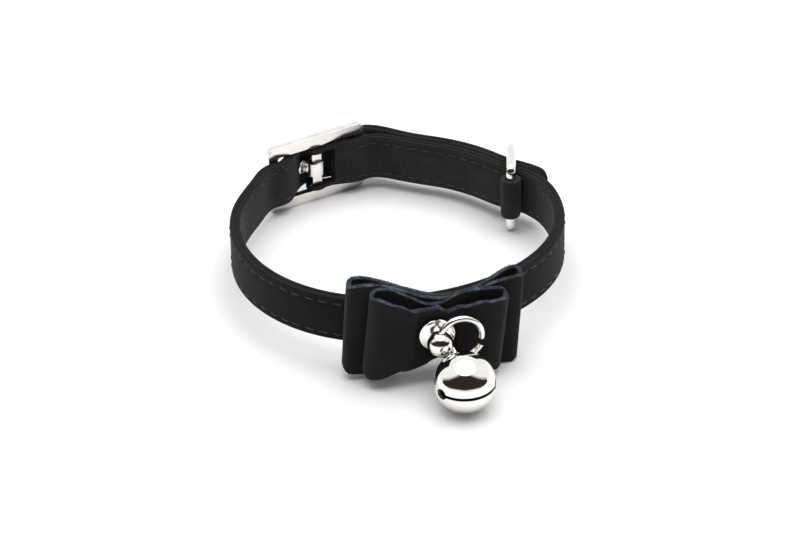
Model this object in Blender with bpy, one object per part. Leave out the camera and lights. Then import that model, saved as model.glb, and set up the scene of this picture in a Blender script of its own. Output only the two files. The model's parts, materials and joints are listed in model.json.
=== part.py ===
"""Small pet collar: a buckled strap with a two layer leather bow, a stud, a jump ring and a round bell.

The collar lies on a surface at Z = 0 as it does on a table, with the bow facing -Y.
Turns round the loop are degrees clockwise from the buckle, seen from above.
"""
import math

import bmesh
import bpy
import numpy as np
from mathutils import Matrix, Vector

MM = 0.001
FULL_TURN = 360.0

# Gaps between pieces
GAP = 0.3 * MM
CLOSE_GAP = 0.15 * MM

# Strap: two plies of leather, one long band that passes its own buckle end
STRAP_WIDTH = 11.0 * MM
STRAP_THICK = 2.4 * MM
STRAP_EDGE = 0.4 * MM
STRAP_STEP = 2.0 * MM
LOOP_RADIUS = 36.0 * MM
TAIL_TURN = 92.3
TAIL_CORNER = 2.2 * MM

# Plan of the worn loop, from the buckle clockwise round the front and back to the buckle
# turn from the buckle in degrees, distance from the middle as a share of LOOP_RADIUS
LOOP_PLAN = (
    (33.8, 0.957),
    (50.8, 0.924),
    (68.8, 0.910),
    (77.8, 0.920),
    (85.8, 0.972),
    (93.8, 1.014),
    (106.8, 1.032),
    (126.8, 1.037),
    (146.8, 1.021),
    (171.8, 0.989),
    (196.8, 0.980),
    (226.8, 0.997),
    (256.8, 0.994),
    (286.8, 0.983),
    (311.8, 0.977),
    (329.8, 0.992),
)
OVERLAP_ROWS = 5

# Buckle: flat frame with a centre bar that carries the tongue
BUCKLE_ANGLE = 106.8
BUCKLE_SEAT = 36.5 * MM
BUCKLE_LENGTH = 25.0 * MM
BUCKLE_THICK = 1.6 * MM
RAIL_HEIGHT = 2.6 * MM
END_BAR = 2.4 * MM
CENTRE_BAR = 2.4 * MM
BUCKLE_CORNER = 1.6 * MM
BUCKLE_EDGE = 0.35 * MM
RAIL_GAP = 0.4 * MM
BUCKLE_HEIGHT = STRAP_WIDTH + 2 * (RAIL_GAP + RAIL_HEIGHT)

# Strap end folded round the centre bar, slotted for the tongue
EYE_PLY = 1.0 * MM
SLOT_HEIGHT = 9.0 * MM
SLOT_REACH = 4.2 * MM

# Tongue and eyelets
KNUCKLE_WALL = 0.75 * MM
KNUCKLE_HEIGHT = 3.3 * MM
TONGUE_WIRE = 1.2 * MM
TONGUE_RISE = 1.0 * MM
TONGUE_TIP = 0.9 * MM
EYELET_SETBACK = 3.7 * MM
EYELET_BORE = 2.0 * MM
EYELET_WALL = 0.3 * MM
EYELET_FLANGE = 3.5 * MM
EYELET_LIP = 0.4 * MM
HOLE_PITCH = 12.0 * MM
SPARE_HOLES = 4

# Leash ring: a D of round wire with a leather sleeve on its straight side
RING_TURN = 82.8
RING_SWING = 32.0
RING_WIRE = 2.3 * MM
RING_HEIGHT = 18.0 * MM
RING_CORNER = 1.2 * MM
RING_STRAIGHT = 8.0 * MM
RING_ARCH = 5.0 * MM
SLEEVE_WALL = 1.0 * MM
SLEEVE_LENGTH = 10.3 * MM
SLEEVE_ROUND = 0.9 * MM

# Bow: two folded leather bands, pinched together behind the stud
BOW_TURN = 196.0
BOW_SWING = -3.5
BOW_PLY = 1.1 * MM
BOW_LEAN = 4.0
BACK_BOW_WIDTH = 38.8 * MM
BACK_BOW_HEIGHT = 24.0 * MM
BACK_BOW_DEPTH = 4.2 * MM
BACK_BOW_RECEDE = 0.4 * MM
FRONT_BOW_WIDTH = 29.5 * MM
FRONT_BOW_HEIGHT = 22.0 * MM
FRONT_BOW_DEPTH = 4.9 * MM
FRONT_BOW_RECEDE = 0.1 * MM
BOW_CORNER = 1.3 * MM
BOW_STEP = 1.6 * MM

# Fold of each bow band from the pinch to the end of its left and right loops
# share of the half width, front ply and back ply as shares of the loop's depth
BACK_BOW_LEFT = (
    (0.00, 0.00, 0.00),
    (0.20, 0.00, 0.00),
    (0.45, 0.00, 0.00),
    (0.70, 0.00, 0.16),
    (0.90, 0.10, 0.34),
    (0.985, 0.03, 0.22),
)
BACK_BOW_RIGHT = (
    (0.00, 0.00, 0.00),
    (0.20, 0.00, 0.00),
    (0.45, 0.00, 0.00),
    (0.70, 0.00, 0.21),
    (0.90, 0.13, 0.44),
    (0.985, 0.04, 0.29),
)
FRONT_BOW_LEFT = (
    (0.00, -0.02, 0.00),
    (0.15, -0.02, 0.00),
    (0.29, -0.02, 0.00),
    (0.43, 0.28, 0.00),
    (0.58, 0.50, 0.00),
    (0.75, 0.56, 0.00),
    (0.92, 0.38, 0.00),
    (0.985, 0.15, 0.02),
)
FRONT_BOW_RIGHT = (
    (0.00, -0.02, 0.00),
    (0.15, -0.02, 0.00),
    (0.29, -0.02, 0.00),
    (0.42, 0.24, 0.00),
    (0.54, 0.36, 0.00),
    (0.66, 0.40, 0.00),
    (0.80, 0.50, 0.00),
    (0.92, 0.44, 0.00),
    (0.985, 0.20, 0.02),
)

# Cut edges of each bow band, from its left end to its right end
# share of the half width, lower edge and upper edge above the table as shares of the band's height
BACK_BOW_EDGES = (
    (-1.00, 0.085, 1.020),
    (-0.70, 0.050, 1.000),
    (-0.40, 0.090, 0.915),
    (0.00, 0.210, 0.790),
    (0.40, 0.110, 0.800),
    (0.70, 0.020, 0.890),
    (1.00, 0.000, 0.950),
)
FRONT_BOW_EDGES = (
    (-1.00, 0.105, 1.070),
    (-0.80, 0.145, 1.030),
    (-0.50, 0.205, 0.920),
    (0.00, 0.250, 0.815),
    (0.50, 0.160, 0.845),
    (0.80, 0.100, 0.845),
    (1.00, 0.070, 0.865),
)

# Stud: riveted disc, neck and drilled ball that hold the bow and carry the jump ring
STUD_DISC = 7.9 * MM
STUD_RIM = 0.6 * MM
STUD_CONE = 0.9 * MM
STUD_NECK = 2.6 * MM
STUD_BALL = 5.7 * MM
STUD_REACH = 3.8 * MM
STUD_SHANK = 2.0 * MM
STUD_CAP = 5.4 * MM
STUD_CAP_THICK = 0.8 * MM

# Jump ring
JUMP_WIRE = 1.4 * MM
JUMP_RADIUS = 4.65 * MM
JUMP_LIFT = 0.9 * MM
JUMP_SWING = 1.5
JUMP_GAP_TURN = -18.0
JUMP_GAP_SWEEP = 12.0
JUMP_SPRUNG = 1.0 * MM

# Bell: hollow ball on its side, with a slit between two round holes
BELL_DIAMETER = 13.4 * MM
BELL_WALL = 0.7 * MM
HOOK_TURN = -112.0
BELL_POLE_TURN = 7.0
BELL_SLIT_RISE = 15.0
BELL_SLIT = 0.75 * MM
BELL_SLIT_HALF = 67.0
BELL_HOLE = 2.2 * MM
SHANK_WIRE = 1.1 * MM
SHANK_RADIUS = 1.7 * MM
SHANK_ROOT = 0.35 * MM

# How finely round pieces are stepped
BALL_STEPS = 28
BALL_ROWS = 16
STUD_STEPS = 24
STUD_ROWS = 9
WASHER_STEPS = 14
SLEEVE_STEPS = 20
EYE_STEPS = 20
RING_SIDES = 12
JUMP_SIDES = 10
JUMP_STEPS = 34
WIRE_SIDES = 8
SHANK_STEPS = 18

# Colours, roughness and metallic of the finishes
FINISHES = {
    "black_leather": ((0.012, 0.012, 0.014), 0.85, 0.0),
    "bow_leather": ((0.010, 0.010, 0.011), 0.95, 0.0),
    "chrome": ((0.86, 0.85, 0.83), 0.12, 1.0),
}


def material(name):
    colour, roughness, metallic = FINISHES[name]
    made = bpy.data.materials.get(name)
    if made is None:
        made = bpy.data.materials.new(name)
        made.use_nodes = True
        shader = made.node_tree.nodes["Principled BSDF"]
        shader.inputs["Base Color"].default_value = (*colour, 1.0)
        shader.inputs["Roughness"].default_value = roughness
        shader.inputs["Metallic"].default_value = metallic
    return made


def add_object(name, mesh_data, finish=None):
    """Link a finished bmesh as a named object with its material."""
    mesh = bpy.data.meshes.new(name)
    mesh_data.normal_update()
    bmesh.ops.recalc_face_normals(mesh_data, faces=mesh_data.faces)
    mesh_data.to_mesh(mesh)
    mesh_data.free()
    made = bpy.data.objects.new(name, mesh)
    bpy.context.scene.collection.objects.link(made)
    if finish:
        mesh.materials.append(material(finish))
        mesh.shade_smooth()
        mesh.set_sharp_from_angle(angle=math.radians(35))
    else:
        made.hide_render = True
        made.display_type = "WIRE"
    return made


def boolean(target, other, operation="DIFFERENCE"):
    """Cut or join with another object, which is then a hidden helper."""
    step = target.modifiers.new(other.name, "BOOLEAN")
    step.operation = operation
    step.solver = "EXACT"
    step.object = other
    other.hide_render = True
    other.display_type = "WIRE"


def skin_sections(mesh_data, sections, closed):
    """Join rings of points into a band of quads, with end faces where it is open."""
    rings = [[mesh_data.verts.new(point) for point in section] for section in sections]
    count = len(rings)
    sides = len(rings[0])
    for index in range(count if closed else count - 1):
        here = rings[index]
        there = rings[(index + 1) % count]
        for side in range(sides):
            after = (side + 1) % sides
            mesh_data.faces.new((here[side], here[after], there[after], there[side]))
    if not closed:
        mesh_data.faces.new(rings[0][::-1])
        mesh_data.faces.new(rings[-1])


def tube_sections(path, radius, closed, side_axis, sides=12):
    """Round sections along a path that lies in the plane across side_axis."""
    count = len(path)
    sections = []
    for index, point in enumerate(path):
        before = path[index - 1] if closed or index else point
        after = path[(index + 1) % count] if closed or index < count - 1 else point
        along = (after - before).normalized()
        across = along.cross(side_axis).normalized()
        up = across.cross(along).normalized()
        turns = [math.tau * (step + 0.5) / sides for step in range(sides)]
        sections.append([point + radius * (math.cos(a) * across + math.sin(a) * up) for a in turns])
    return sections


def add_tube(name, path, radius, closed, side_axis, finish=None, sides=12):
    mesh_data = bmesh.new()
    skin_sections(mesh_data, tube_sections(path, radius, closed, side_axis, sides), closed)
    return add_object(name, mesh_data, finish)


def add_turned(name, profile, frame, steps, finish=None):
    """Turn rows of (distance along the axis, radius) about the frame's second axis.

    The first and last rows have no radius, so the solid is closed at its poles.
    """
    mesh_data = bmesh.new()
    rings = []
    for along, radius in profile:
        turns = [math.tau * step / steps for step in range(steps)] if radius else [0.0]
        spots = [Vector((radius * math.cos(a), along, radius * math.sin(a))) for a in turns]
        rings.append([mesh_data.verts.new(frame @ spot) for spot in spots])
    for here, there in zip(rings, rings[1:]):
        for side in range(steps):
            after = (side + 1) % steps
            if len(here) == 1:
                mesh_data.faces.new((here[0], there[after], there[side]))
            elif len(there) == 1:
                mesh_data.faces.new((here[side], here[after], there[0]))
            else:
                mesh_data.faces.new((here[side], here[after], there[after], there[side]))
    return add_object(name, mesh_data, finish)


def add_washer(name, profile, frame, steps, finish=None):
    """Turn a closed outline of (distance along the axis, radius) rows about the frame's second axis."""
    mesh_data = bmesh.new()
    sections = []
    for step in range(steps):
        a = math.tau * step / steps
        rows = [Vector((radius * math.cos(a), along, radius * math.sin(a))) for along, radius in profile]
        sections.append([frame @ spot for spot in rows])
    skin_sections(mesh_data, sections, closed=True)
    return add_object(name, mesh_data, finish)


def add_pin_cutter(name, frame, radius, reach, steps=20):
    profile = ((-reach, 0.0), (-reach, radius), (reach, radius), (reach, 0.0))
    return add_turned(name, profile, frame, steps)


def add_box(name, low, high, frame, finish=None):
    mesh_data = bmesh.new()
    bmesh.ops.create_cube(mesh_data, size=1.0)
    for corner in mesh_data.verts:
        share = corner.co + Vector((0.5, 0.5, 0.5))
        corner.co = frame @ Vector([low[i] + share[i] * (high[i] - low[i]) for i in range(3)])
    return add_object(name, mesh_data, finish)


def smooth_curve(points, spacing, closed=False):
    """Read evenly spaced points from a cubic curve through the given plan points."""
    given = np.array([tuple(point) for point in points])
    if closed:
        given = np.vstack([given[-3:], given, given[:4]])
    knots = np.concatenate([[0.0], np.cumsum(np.linalg.norm(np.diff(given, axis=0), axis=1))])
    spans = np.diff(knots)
    count = len(knots)
    system = np.eye(count)
    right = np.zeros_like(given)
    for row in range(1, count - 1):
        system[row, row - 1] = spans[row - 1]
        system[row, row] = 2 * (spans[row - 1] + spans[row])
        system[row, row + 1] = spans[row]
        rise = (given[row + 1] - given[row]) / spans[row] - (given[row] - given[row - 1]) / spans[row - 1]
        right[row] = 6 * rise
    bend = np.linalg.solve(system, right)

    def at(place):
        cell = min(max(int(np.searchsorted(knots, place) - 1), 0), count - 2)
        width = spans[cell]
        late = (place - knots[cell]) / width
        early = 1 - late
        line = early * given[cell] + late * given[cell + 1]
        curve = (early ** 3 - early) * bend[cell] + (late ** 3 - late) * bend[cell + 1]
        return line + curve * width * width / 6

    first, last = (knots[3], knots[count - 4]) if closed else (knots[0], knots[-1])
    steps = max(int(round((last - first) / spacing)), 8)
    places = np.linspace(first, last, steps + 1)
    if closed:
        places = places[:-1]
    return [Vector(at(place)) for place in places]


def plan_direction(degrees):
    angle = math.radians(degrees)
    return Vector((math.cos(angle), math.sin(angle), 0.0))


UP = Vector((0.0, 0.0, 1.0))


def axes_frame(origin, first, second, third):
    """Matrix whose axes are the three given directions."""
    frame = Matrix((first, second, third)).transposed().to_4x4()
    frame.translation = origin
    return frame


# Places that follow from the sizes above
BUCKLE_OUT = plan_direction(BUCKLE_ANGLE)
BUCKLE_RIGHT = BUCKLE_OUT.cross(UP)
BUCKLE_MIDDLE = BUCKLE_SEAT * BUCKLE_OUT + 0.5 * BUCKLE_HEIGHT * UP
BUCKLE_FRAME = axes_frame(BUCKLE_MIDDLE, BUCKLE_RIGHT, BUCKLE_OUT, UP)
END_BAR_AT = 0.5 * (BUCKLE_LENGTH - END_BAR)
LAYER_STEP = STRAP_THICK + GAP
BAR_LIFT = 0.5 * BUCKLE_THICK + GAP + 0.5 * STRAP_THICK
EYE_OUTER = 0.5 * BUCKLE_THICK + GAP + EYE_PLY
CROWN_LIFT = EYE_OUTER + GAP + 0.5 * STRAP_THICK


def strap_height(point):
    """Height of the strap's middle: half the bow at the front, half the buckle at the back."""
    front = -LOOP_RADIUS
    back = BUCKLE_MIDDLE.y - 0.5 * END_BAR_AT
    share = min(max((point.y - front) / (back - front), 0.0), 1.0)
    return 0.5 * (BACK_BOW_HEIGHT * (1 - share) + BUCKLE_HEIGHT * share)


def buckle_point(along, out):
    point = BUCKLE_FRAME @ Vector((along, out, 0.0))
    return Vector((point.x, point.y, 0.0))


def loop_point(row, layers=0):
    turn, share = row
    return (share * LOOP_RADIUS + layers * LAYER_STEP) * plan_direction(BUCKLE_ANGLE - turn)


def strap_plan():
    """Middle line of the strap, from its folded end at the centre bar to the tip of the tail."""
    bar_edges = (END_BAR_AT - 0.5 * END_BAR, END_BAR_AT + 0.5 * END_BAR)
    points = [buckle_point(0.0, 0.0), buckle_point(0.45 * END_BAR_AT, -0.4 * BAR_LIFT)]
    points += [buckle_point(along, -BAR_LIFT) for along in bar_edges]
    points += [loop_point(row) for row in LOOP_PLAN]
    points += [buckle_point(-along, -BAR_LIFT) for along in reversed(bar_edges)]
    points.append(buckle_point(-0.38 * END_BAR_AT, 0.62 * CROWN_LIFT))
    points.append(buckle_point(0.0, CROWN_LIFT))
    points.append(buckle_point(0.5 * END_BAR_AT, 0.5 * (CROWN_LIFT + BAR_LIFT)))
    points += [buckle_point(along, BAR_LIFT) for along in bar_edges]
    points += [loop_point(row, layers=1) for row in LOOP_PLAN[:OVERLAP_ROWS - 1]]
    last = LOOP_PLAN[OVERLAP_ROWS - 1]
    beyond = LOOP_PLAN[OVERLAP_ROWS]
    share = (TAIL_TURN - last[0]) / (beyond[0] - last[0])
    points.append(loop_point(last, layers=1))
    tip = (TAIL_TURN, last[1] + share * (beyond[1] - last[1]))
    points.append(loop_point(tip, layers=1))
    line = smooth_curve(points, STRAP_STEP)
    return [point + strap_height(point) * UP for point in line]


STRAP_LINE = strap_plan()


def outward(line, index):
    """Plan direction square to a line that runs clockwise, pointing out of the loop."""
    along = line[min(index + 1, len(line) - 1)] - line[max(index - 1, 0)]
    return Vector((-along.y, along.x, 0.0)).normalized()


def strap_frame(index):
    """Frame on the strap's middle line: along the loop, outward, up."""
    out = outward(STRAP_LINE, index)
    return axes_frame(STRAP_LINE[index], out.cross(UP), out, UP)


def strap_index(turn):
    """Index where the inner layer of the strap first reaches a turn from the buckle."""
    turned = 0.0
    for index in range(1, len(STRAP_LINE)):
        here = STRAP_LINE[index]
        before = STRAP_LINE[index - 1]
        step = math.atan2(before.y * here.x - before.x * here.y, before.x * here.x + before.y * here.y)
        turned += math.degrees(step)
        if turned >= turn:
            return index
    return len(STRAP_LINE) - 1


def frame_along_strap(distance):
    """Frame at a distance along the strap, measured from the crown over the centre bar."""
    crown = buckle_point(0.0, CROWN_LIFT) + strap_height(BUCKLE_MIDDLE) * UP
    half = len(STRAP_LINE) // 2
    index = min(range(half, len(STRAP_LINE)), key=lambda i: (STRAP_LINE[i] - crown).length)
    step = 1 if distance > 0 else -1
    left = abs(distance)
    spot = crown
    while True:
        following = STRAP_LINE[index + step]
        length = (following - spot).length
        if length >= left:
            break
        left -= length
        index += step
        spot = following
    share = left / length
    out = outward(STRAP_LINE, index).lerp(outward(STRAP_LINE, index + step), share).normalized()
    return axes_frame(spot + (following - spot) * (left / length), out.cross(UP), out, UP)


def rounded_drop(distance, corner):
    """How far a rounded corner has dropped at a distance from the end."""
    if distance >= corner:
        return 0.0
    return corner - math.sqrt(corner ** 2 - (corner - distance) ** 2)


def strap_section(point, out, half_height):
    """Eight cornered section of the strap, its edges eased."""
    half = 0.5 * STRAP_THICK
    ease = STRAP_EDGE
    outline = (
        (-half, ease - half_height),
        (ease - half, -half_height),
        (half - ease, -half_height),
        (half, ease - half_height),
        (half, half_height - ease),
        (half - ease, half_height),
        (ease - half, half_height),
        (-half, half_height - ease),
    )
    return [point + across * out + rise * UP for across, rise in outline]


def make_strap():
    mesh_data = bmesh.new()
    line = STRAP_LINE
    sections = []
    for index, point in enumerate(line[:-1]):
        sections.append(strap_section(point, outward(line, index), 0.5 * STRAP_WIDTH))
    tip = line[-1]
    back = (line[-2] - tip).normalized()
    out = outward(line, len(line) - 1)
    for share in (0.8, 0.55, 0.3, 0.12, 0.0):
        distance = share * TAIL_CORNER
        if distance < (line[-2] - tip).length:
            half_height = 0.5 * STRAP_WIDTH - rounded_drop(distance, TAIL_CORNER)
            sections.append(strap_section(tip + distance * back, out, half_height))
    skin_sections(mesh_data, sections, closed=False)
    strap = add_object("strap", mesh_data, "black_leather")

    half_eye = 0.5 * STRAP_WIDTH - 0.5 * STRAP_EDGE
    half_bar = 0.5 * CENTRE_BAR
    eye = bmesh.new()
    rings = []
    for height in (-half_eye, half_eye):
        turns = [math.tau * step / EYE_STEPS for step in range(EYE_STEPS)]
        reach = half_bar + GAP + EYE_PLY
        rings.append([BUCKLE_FRAME @ Vector((reach * math.cos(a), EYE_OUTER * math.sin(a), height)) for a in turns])
    skin_sections(eye, rings, closed=False)
    boolean(strap, add_object("strap_eye", eye), "UNION")

    bar_low = (-half_bar - GAP, -0.5 * BUCKLE_THICK - GAP, -STRAP_WIDTH)
    bar_high = (half_bar + GAP, 0.5 * BUCKLE_THICK + GAP, STRAP_WIDTH)
    boolean(strap, add_box("bar_cut", bar_low, bar_high, BUCKLE_FRAME))
    slot_low = (-half_bar - GAP - 2 * EYE_PLY, -EYE_OUTER - GAP, -0.5 * SLOT_HEIGHT)
    slot_high = (SLOT_REACH, EYE_OUTER + 0.5 * GAP, 0.5 * SLOT_HEIGHT)
    boolean(strap, add_box("slot_cut", slot_low, slot_high, BUCKLE_FRAME))

    hole = 0.5 * EYELET_BORE + EYELET_WALL + CLOSE_GAP
    for number in range(SPARE_HOLES + 1):
        boolean(strap, add_pin_cutter(f"hole_cut_{number}", eyelet_frame(number), hole, 0.7 * STRAP_THICK))
    boolean(strap, add_pin_cutter("rivet_cut_strap", STUD_FRAME, SHANK_HOLE, 3 * STRAP_THICK))
    return strap


def eyelet_frame(number):
    return frame_along_strap(number * HOLE_PITCH - EYELET_SETBACK)


def make_eyelet(number):
    """Pressed ring in a strap hole; the spare ones lie flush where the tail covers the strap."""
    bore = 0.5 * EYELET_BORE
    barrel = bore + EYELET_WALL
    flange = 0.5 * EYELET_FLANGE
    face = 0.5 * STRAP_THICK + (GAP if number == 0 else CLOSE_GAP)
    lip = face + EYELET_LIP
    ease = 0.4 * EYELET_LIP
    outer = [(face, barrel), (face, flange), (lip - ease, flange), (lip, flange - ease), (lip, bore + ease)]
    outer.append((lip - ease, bore))
    if number == 0:
        inner = [(-along, radius) for along, radius in reversed(outer)]
    else:
        inner = [(-0.5 * STRAP_THICK, bore), (-0.5 * STRAP_THICK, barrel)]
    name = "eyelet_pinned" if number == 0 else f"eyelet_{number}"
    return add_washer(name, inner + outer, eyelet_frame(number), WASHER_STEPS, "chrome")


def make_buckle():
    half_length = 0.5 * BUCKLE_LENGTH
    half_height = 0.5 * BUCKLE_HEIGHT
    outline = []
    for corner in range(4):
        turn = math.radians(90 * corner)
        sign_x = 1 if corner in (0, 3) else -1
        sign_z = 1 if corner in (0, 1) else -1
        middle = (sign_x * (half_length - BUCKLE_CORNER), sign_z * (half_height - BUCKLE_CORNER))
        for step in range(5):
            a = turn + math.radians(90 * step / 4)
            outline.append((middle[0] + BUCKLE_CORNER * math.cos(a), middle[1] + BUCKLE_CORNER * math.sin(a)))
    mesh_data = bmesh.new()
    sections = []
    for out in (-0.5 * BUCKLE_THICK, 0.5 * BUCKLE_THICK):
        sections.append([BUCKLE_FRAME @ Vector((along, out, rise)) for along, rise in outline])
    skin_sections(mesh_data, sections, closed=False)
    frame = add_object("buckle_frame", mesh_data, "chrome")
    window = 0.5 * STRAP_WIDTH + RAIL_GAP
    inner = half_length - END_BAR
    for name, low, high in (("left", -inner, -0.5 * CENTRE_BAR), ("right", 0.5 * CENTRE_BAR, inner)):
        cutter = add_box(f"window_{name}", (low, -BUCKLE_THICK, -window), (high, BUCKLE_THICK, window), BUCKLE_FRAME)
        boolean(frame, cutter)
    ease = frame.modifiers.new("eased_edges", "BEVEL")
    ease.width = BUCKLE_EDGE
    ease.segments = 2
    ease.limit_method = "ANGLE"
    ease.angle_limit = math.radians(50)
    return frame


def make_tongue():
    """Tongue: a knuckle on the centre bar and a wire up through the pinned eyelet to the end bar."""
    half_bar = 0.5 * CENTRE_BAR
    reach = half_bar + GAP + KNUCKLE_WALL
    depth = 0.5 * BUCKLE_THICK + GAP + KNUCKLE_WALL
    turns = [math.tau * step / EYE_STEPS for step in range(EYE_STEPS)]
    mesh_data = bmesh.new()
    sections = []
    for height in (-0.5 * KNUCKLE_HEIGHT, 0.5 * KNUCKLE_HEIGHT):
        sections.append([BUCKLE_FRAME @ Vector((reach * math.cos(a), depth * math.sin(a), height)) for a in turns])
    skin_sections(mesh_data, sections, closed=False)
    tongue = add_object("buckle_tongue", mesh_data, "chrome")
    bar_low = (-half_bar - GAP, -0.5 * BUCKLE_THICK - GAP, -KNUCKLE_HEIGHT)
    bar_high = (half_bar + GAP, 0.5 * BUCKLE_THICK + GAP, KNUCKLE_HEIGHT)
    boolean(tongue, add_box("knuckle_cut", bar_low, bar_high, BUCKLE_FRAME))

    eyelet = BUCKLE_FRAME.inverted() @ eyelet_frame(0)
    middle = eyelet.translation
    through = eyelet.to_3x3() @ Vector((0.0, 1.0, 0.0))
    clear = 0.5 * STRAP_THICK + GAP + EYELET_LIP
    rest = 0.5 * BUCKLE_THICK + GAP + 0.5 * TONGUE_WIRE
    leave = Vector((-reach + 0.15 * KNUCKLE_WALL, 0.0, 0.0))
    enter = middle - clear * through
    leave_eyelet = middle + clear * through
    crest = leave_eyelet + Vector((-1.5 * TONGUE_WIRE, TONGUE_RISE * 0.55, 0.0))
    seat = Vector((-END_BAR_AT, rest, 0.0))
    tip = seat - Vector((0.5 * END_BAR + TONGUE_TIP - 0.5 * TONGUE_WIRE, 0.0, 0.0))
    route = [leave, enter, middle, leave_eyelet, crest, seat + Vector((2 * TONGUE_WIRE, TONGUE_RISE, 0)), seat, tip]
    flat = [Vector((spot.x, spot.y, 0.0)) for spot in route]
    path = [BUCKLE_FRAME @ spot for spot in smooth_curve(flat, 0.7 * TONGUE_WIRE)]
    wire = add_tube("tongue_wire", path, 0.5 * TONGUE_WIRE, False, UP, sides=WIRE_SIDES)
    boolean(tongue, wire, "UNION")
    return tongue


def make_leash_ring():
    """D ring whose straight side stands inside the strap; its plane swings about that side."""
    strap = strap_frame(strap_index(RING_TURN))
    across = 0.5 * STRAP_THICK + GAP + SLEEVE_WALL + CLOSE_GAP + 0.5 * RING_WIRE
    bar = strap @ Vector((0, -across, 0))
    swung = Matrix.Rotation(math.radians(RING_SWING), 4, "Z") @ strap.to_3x3().to_4x4()
    frame = Matrix.Translation((bar.x, bar.y, 0.5 * RING_HEIGHT)) @ swung
    half = 0.5 * (RING_HEIGHT - RING_WIRE)
    path = [Vector((0, 0, RING_CORNER - half)), Vector((0, 0, 0))]
    for step in range(4):
        a = math.radians(90 * step / 3)
        path.append(Vector((0, RING_CORNER * (1 - math.cos(a)), half - RING_CORNER * (1 - math.sin(a)))))
    for step in range(13):
        a = math.radians(180 * step / 12)
        path.append(Vector((0, RING_STRAIGHT + RING_ARCH * math.sin(a), half * math.cos(a))))
    for step in range(3):
        a = math.radians(90 * (3 - step) / 3)
        path.append(Vector((0, RING_CORNER * (1 - math.cos(a)), RING_CORNER * (1 - math.sin(a)) - half)))
    side = frame.to_3x3() @ Vector((1, 0, 0))
    ring = add_tube("leash_ring", [frame @ spot for spot in path], 0.5 * RING_WIRE, True, side, "chrome", RING_SIDES)

    bore = 0.5 * RING_WIRE + CLOSE_GAP
    outer = bore + SLEEVE_WALL
    end = 0.5 * SLEEVE_LENGTH
    ease = SLEEVE_ROUND
    profile = [(-end, bore), (-end, outer - ease), (0.3 * ease - end, outer - 0.3 * ease), (ease - end, outer)]
    profile += [(end - 0.5 * ease, outer), (end, outer - 0.5 * ease), (end, bore)]
    upright = strap.to_3x3()
    sleeve = axes_frame(bar, upright.col[1], upright.col[2], upright.col[0])
    add_washer("ring_sleeve", profile, sleeve, SLEEVE_STEPS, "black_leather")
    return ring


def bow_line(width, depth, recede, left_fold, right_fold):
    """Closed plan line of a folded band about the bow's middle plane, as (aside, out) points."""
    pinch = 0.5 * (BOW_PLY + GAP)
    half = 0.5 * (width - BOW_PLY)

    def side(sign, fold):
        front = []
        back = []
        for share, front_share, back_share in fold:
            middle = -recede * share ** 2
            front.append((sign * share * half, middle + pinch + front_share * depth))
            back.append((sign * share * half, middle - pinch - back_share * depth))
        end = (sign * half, 0.5 * (front[-1][1] + back[-1][1]))
        return front, back, end

    right_front, right_back, right_end = side(1, right_fold)
    left_front, left_back, left_end = side(-1, left_fold)
    line = right_front + [right_end] + right_back[::-1]
    line += left_back[1:] + [left_end] + left_front[:0:-1]
    return [Vector((aside, out, 0.0)) for aside, out in line]


def bow_edges(width, height, rows):
    """Read a band's cut edges smoothly: how far aside, lower edge and upper edge above the table."""
    points = [Vector((0.5 * width * share, height * low, height * high)) for share, low, high in rows]
    return np.array([tuple(point) for point in smooth_curve(points, BOW_STEP)]).T


def make_bow(name, width, height, depth, recede, seat, folds, edges):
    """Folded leather band, narrow at the pinch and full height at the ends of its loops."""
    line = smooth_curve(bow_line(width, depth, recede, *folds), BOW_STEP, closed=True)
    aside, lower, upper = bow_edges(width, height, edges)
    lean = math.tan(math.radians(BOW_LEAN))
    mesh_data = bmesh.new()
    sections = []
    for index, point in enumerate(line):
        along = line[(index + 1) % len(line)] - line[index - 1]
        across = Vector((-along.y, along.x, 0.0)).normalized()
        drop = rounded_drop(max(0.5 * width - abs(point.x), 0.0), BOW_CORNER)
        low = max(float(np.interp(point.x, aside, lower)), 0.0) + drop - BOW_FACE.z
        high = float(np.interp(point.x, aside, upper)) - drop - BOW_FACE.z
        section = []
        for side, rise in ((-0.5, low), (0.5, low), (0.5, high), (-0.5, high)):
            spot = point + side * BOW_PLY * across + rise * UP
            spot.x += lean * spot.z
            spot.y += seat
            section.append(BOW_FRAME @ spot)
        sections.append(section)
    skin_sections(mesh_data, sections, closed=True)
    bow = add_object(name, mesh_data, "bow_leather")
    boolean(bow, add_pin_cutter("rivet_cut_" + name, STUD_FRAME, SHANK_HOLE, 3 * BOW_STACK))
    return bow


def make_bows():
    back_seat = GAP + 0.5 * BOW_PAIR
    make_bow("bow_back", BACK_BOW_WIDTH, BACK_BOW_HEIGHT, BACK_BOW_DEPTH, BACK_BOW_RECEDE,
             back_seat, (BACK_BOW_LEFT, BACK_BOW_RIGHT), BACK_BOW_EDGES)
    make_bow("bow_front", FRONT_BOW_WIDTH, FRONT_BOW_HEIGHT, FRONT_BOW_DEPTH, FRONT_BOW_RECEDE,
             back_seat + BOW_PAIR + GAP, (FRONT_BOW_LEFT, FRONT_BOW_RIGHT), FRONT_BOW_EDGES)


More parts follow.
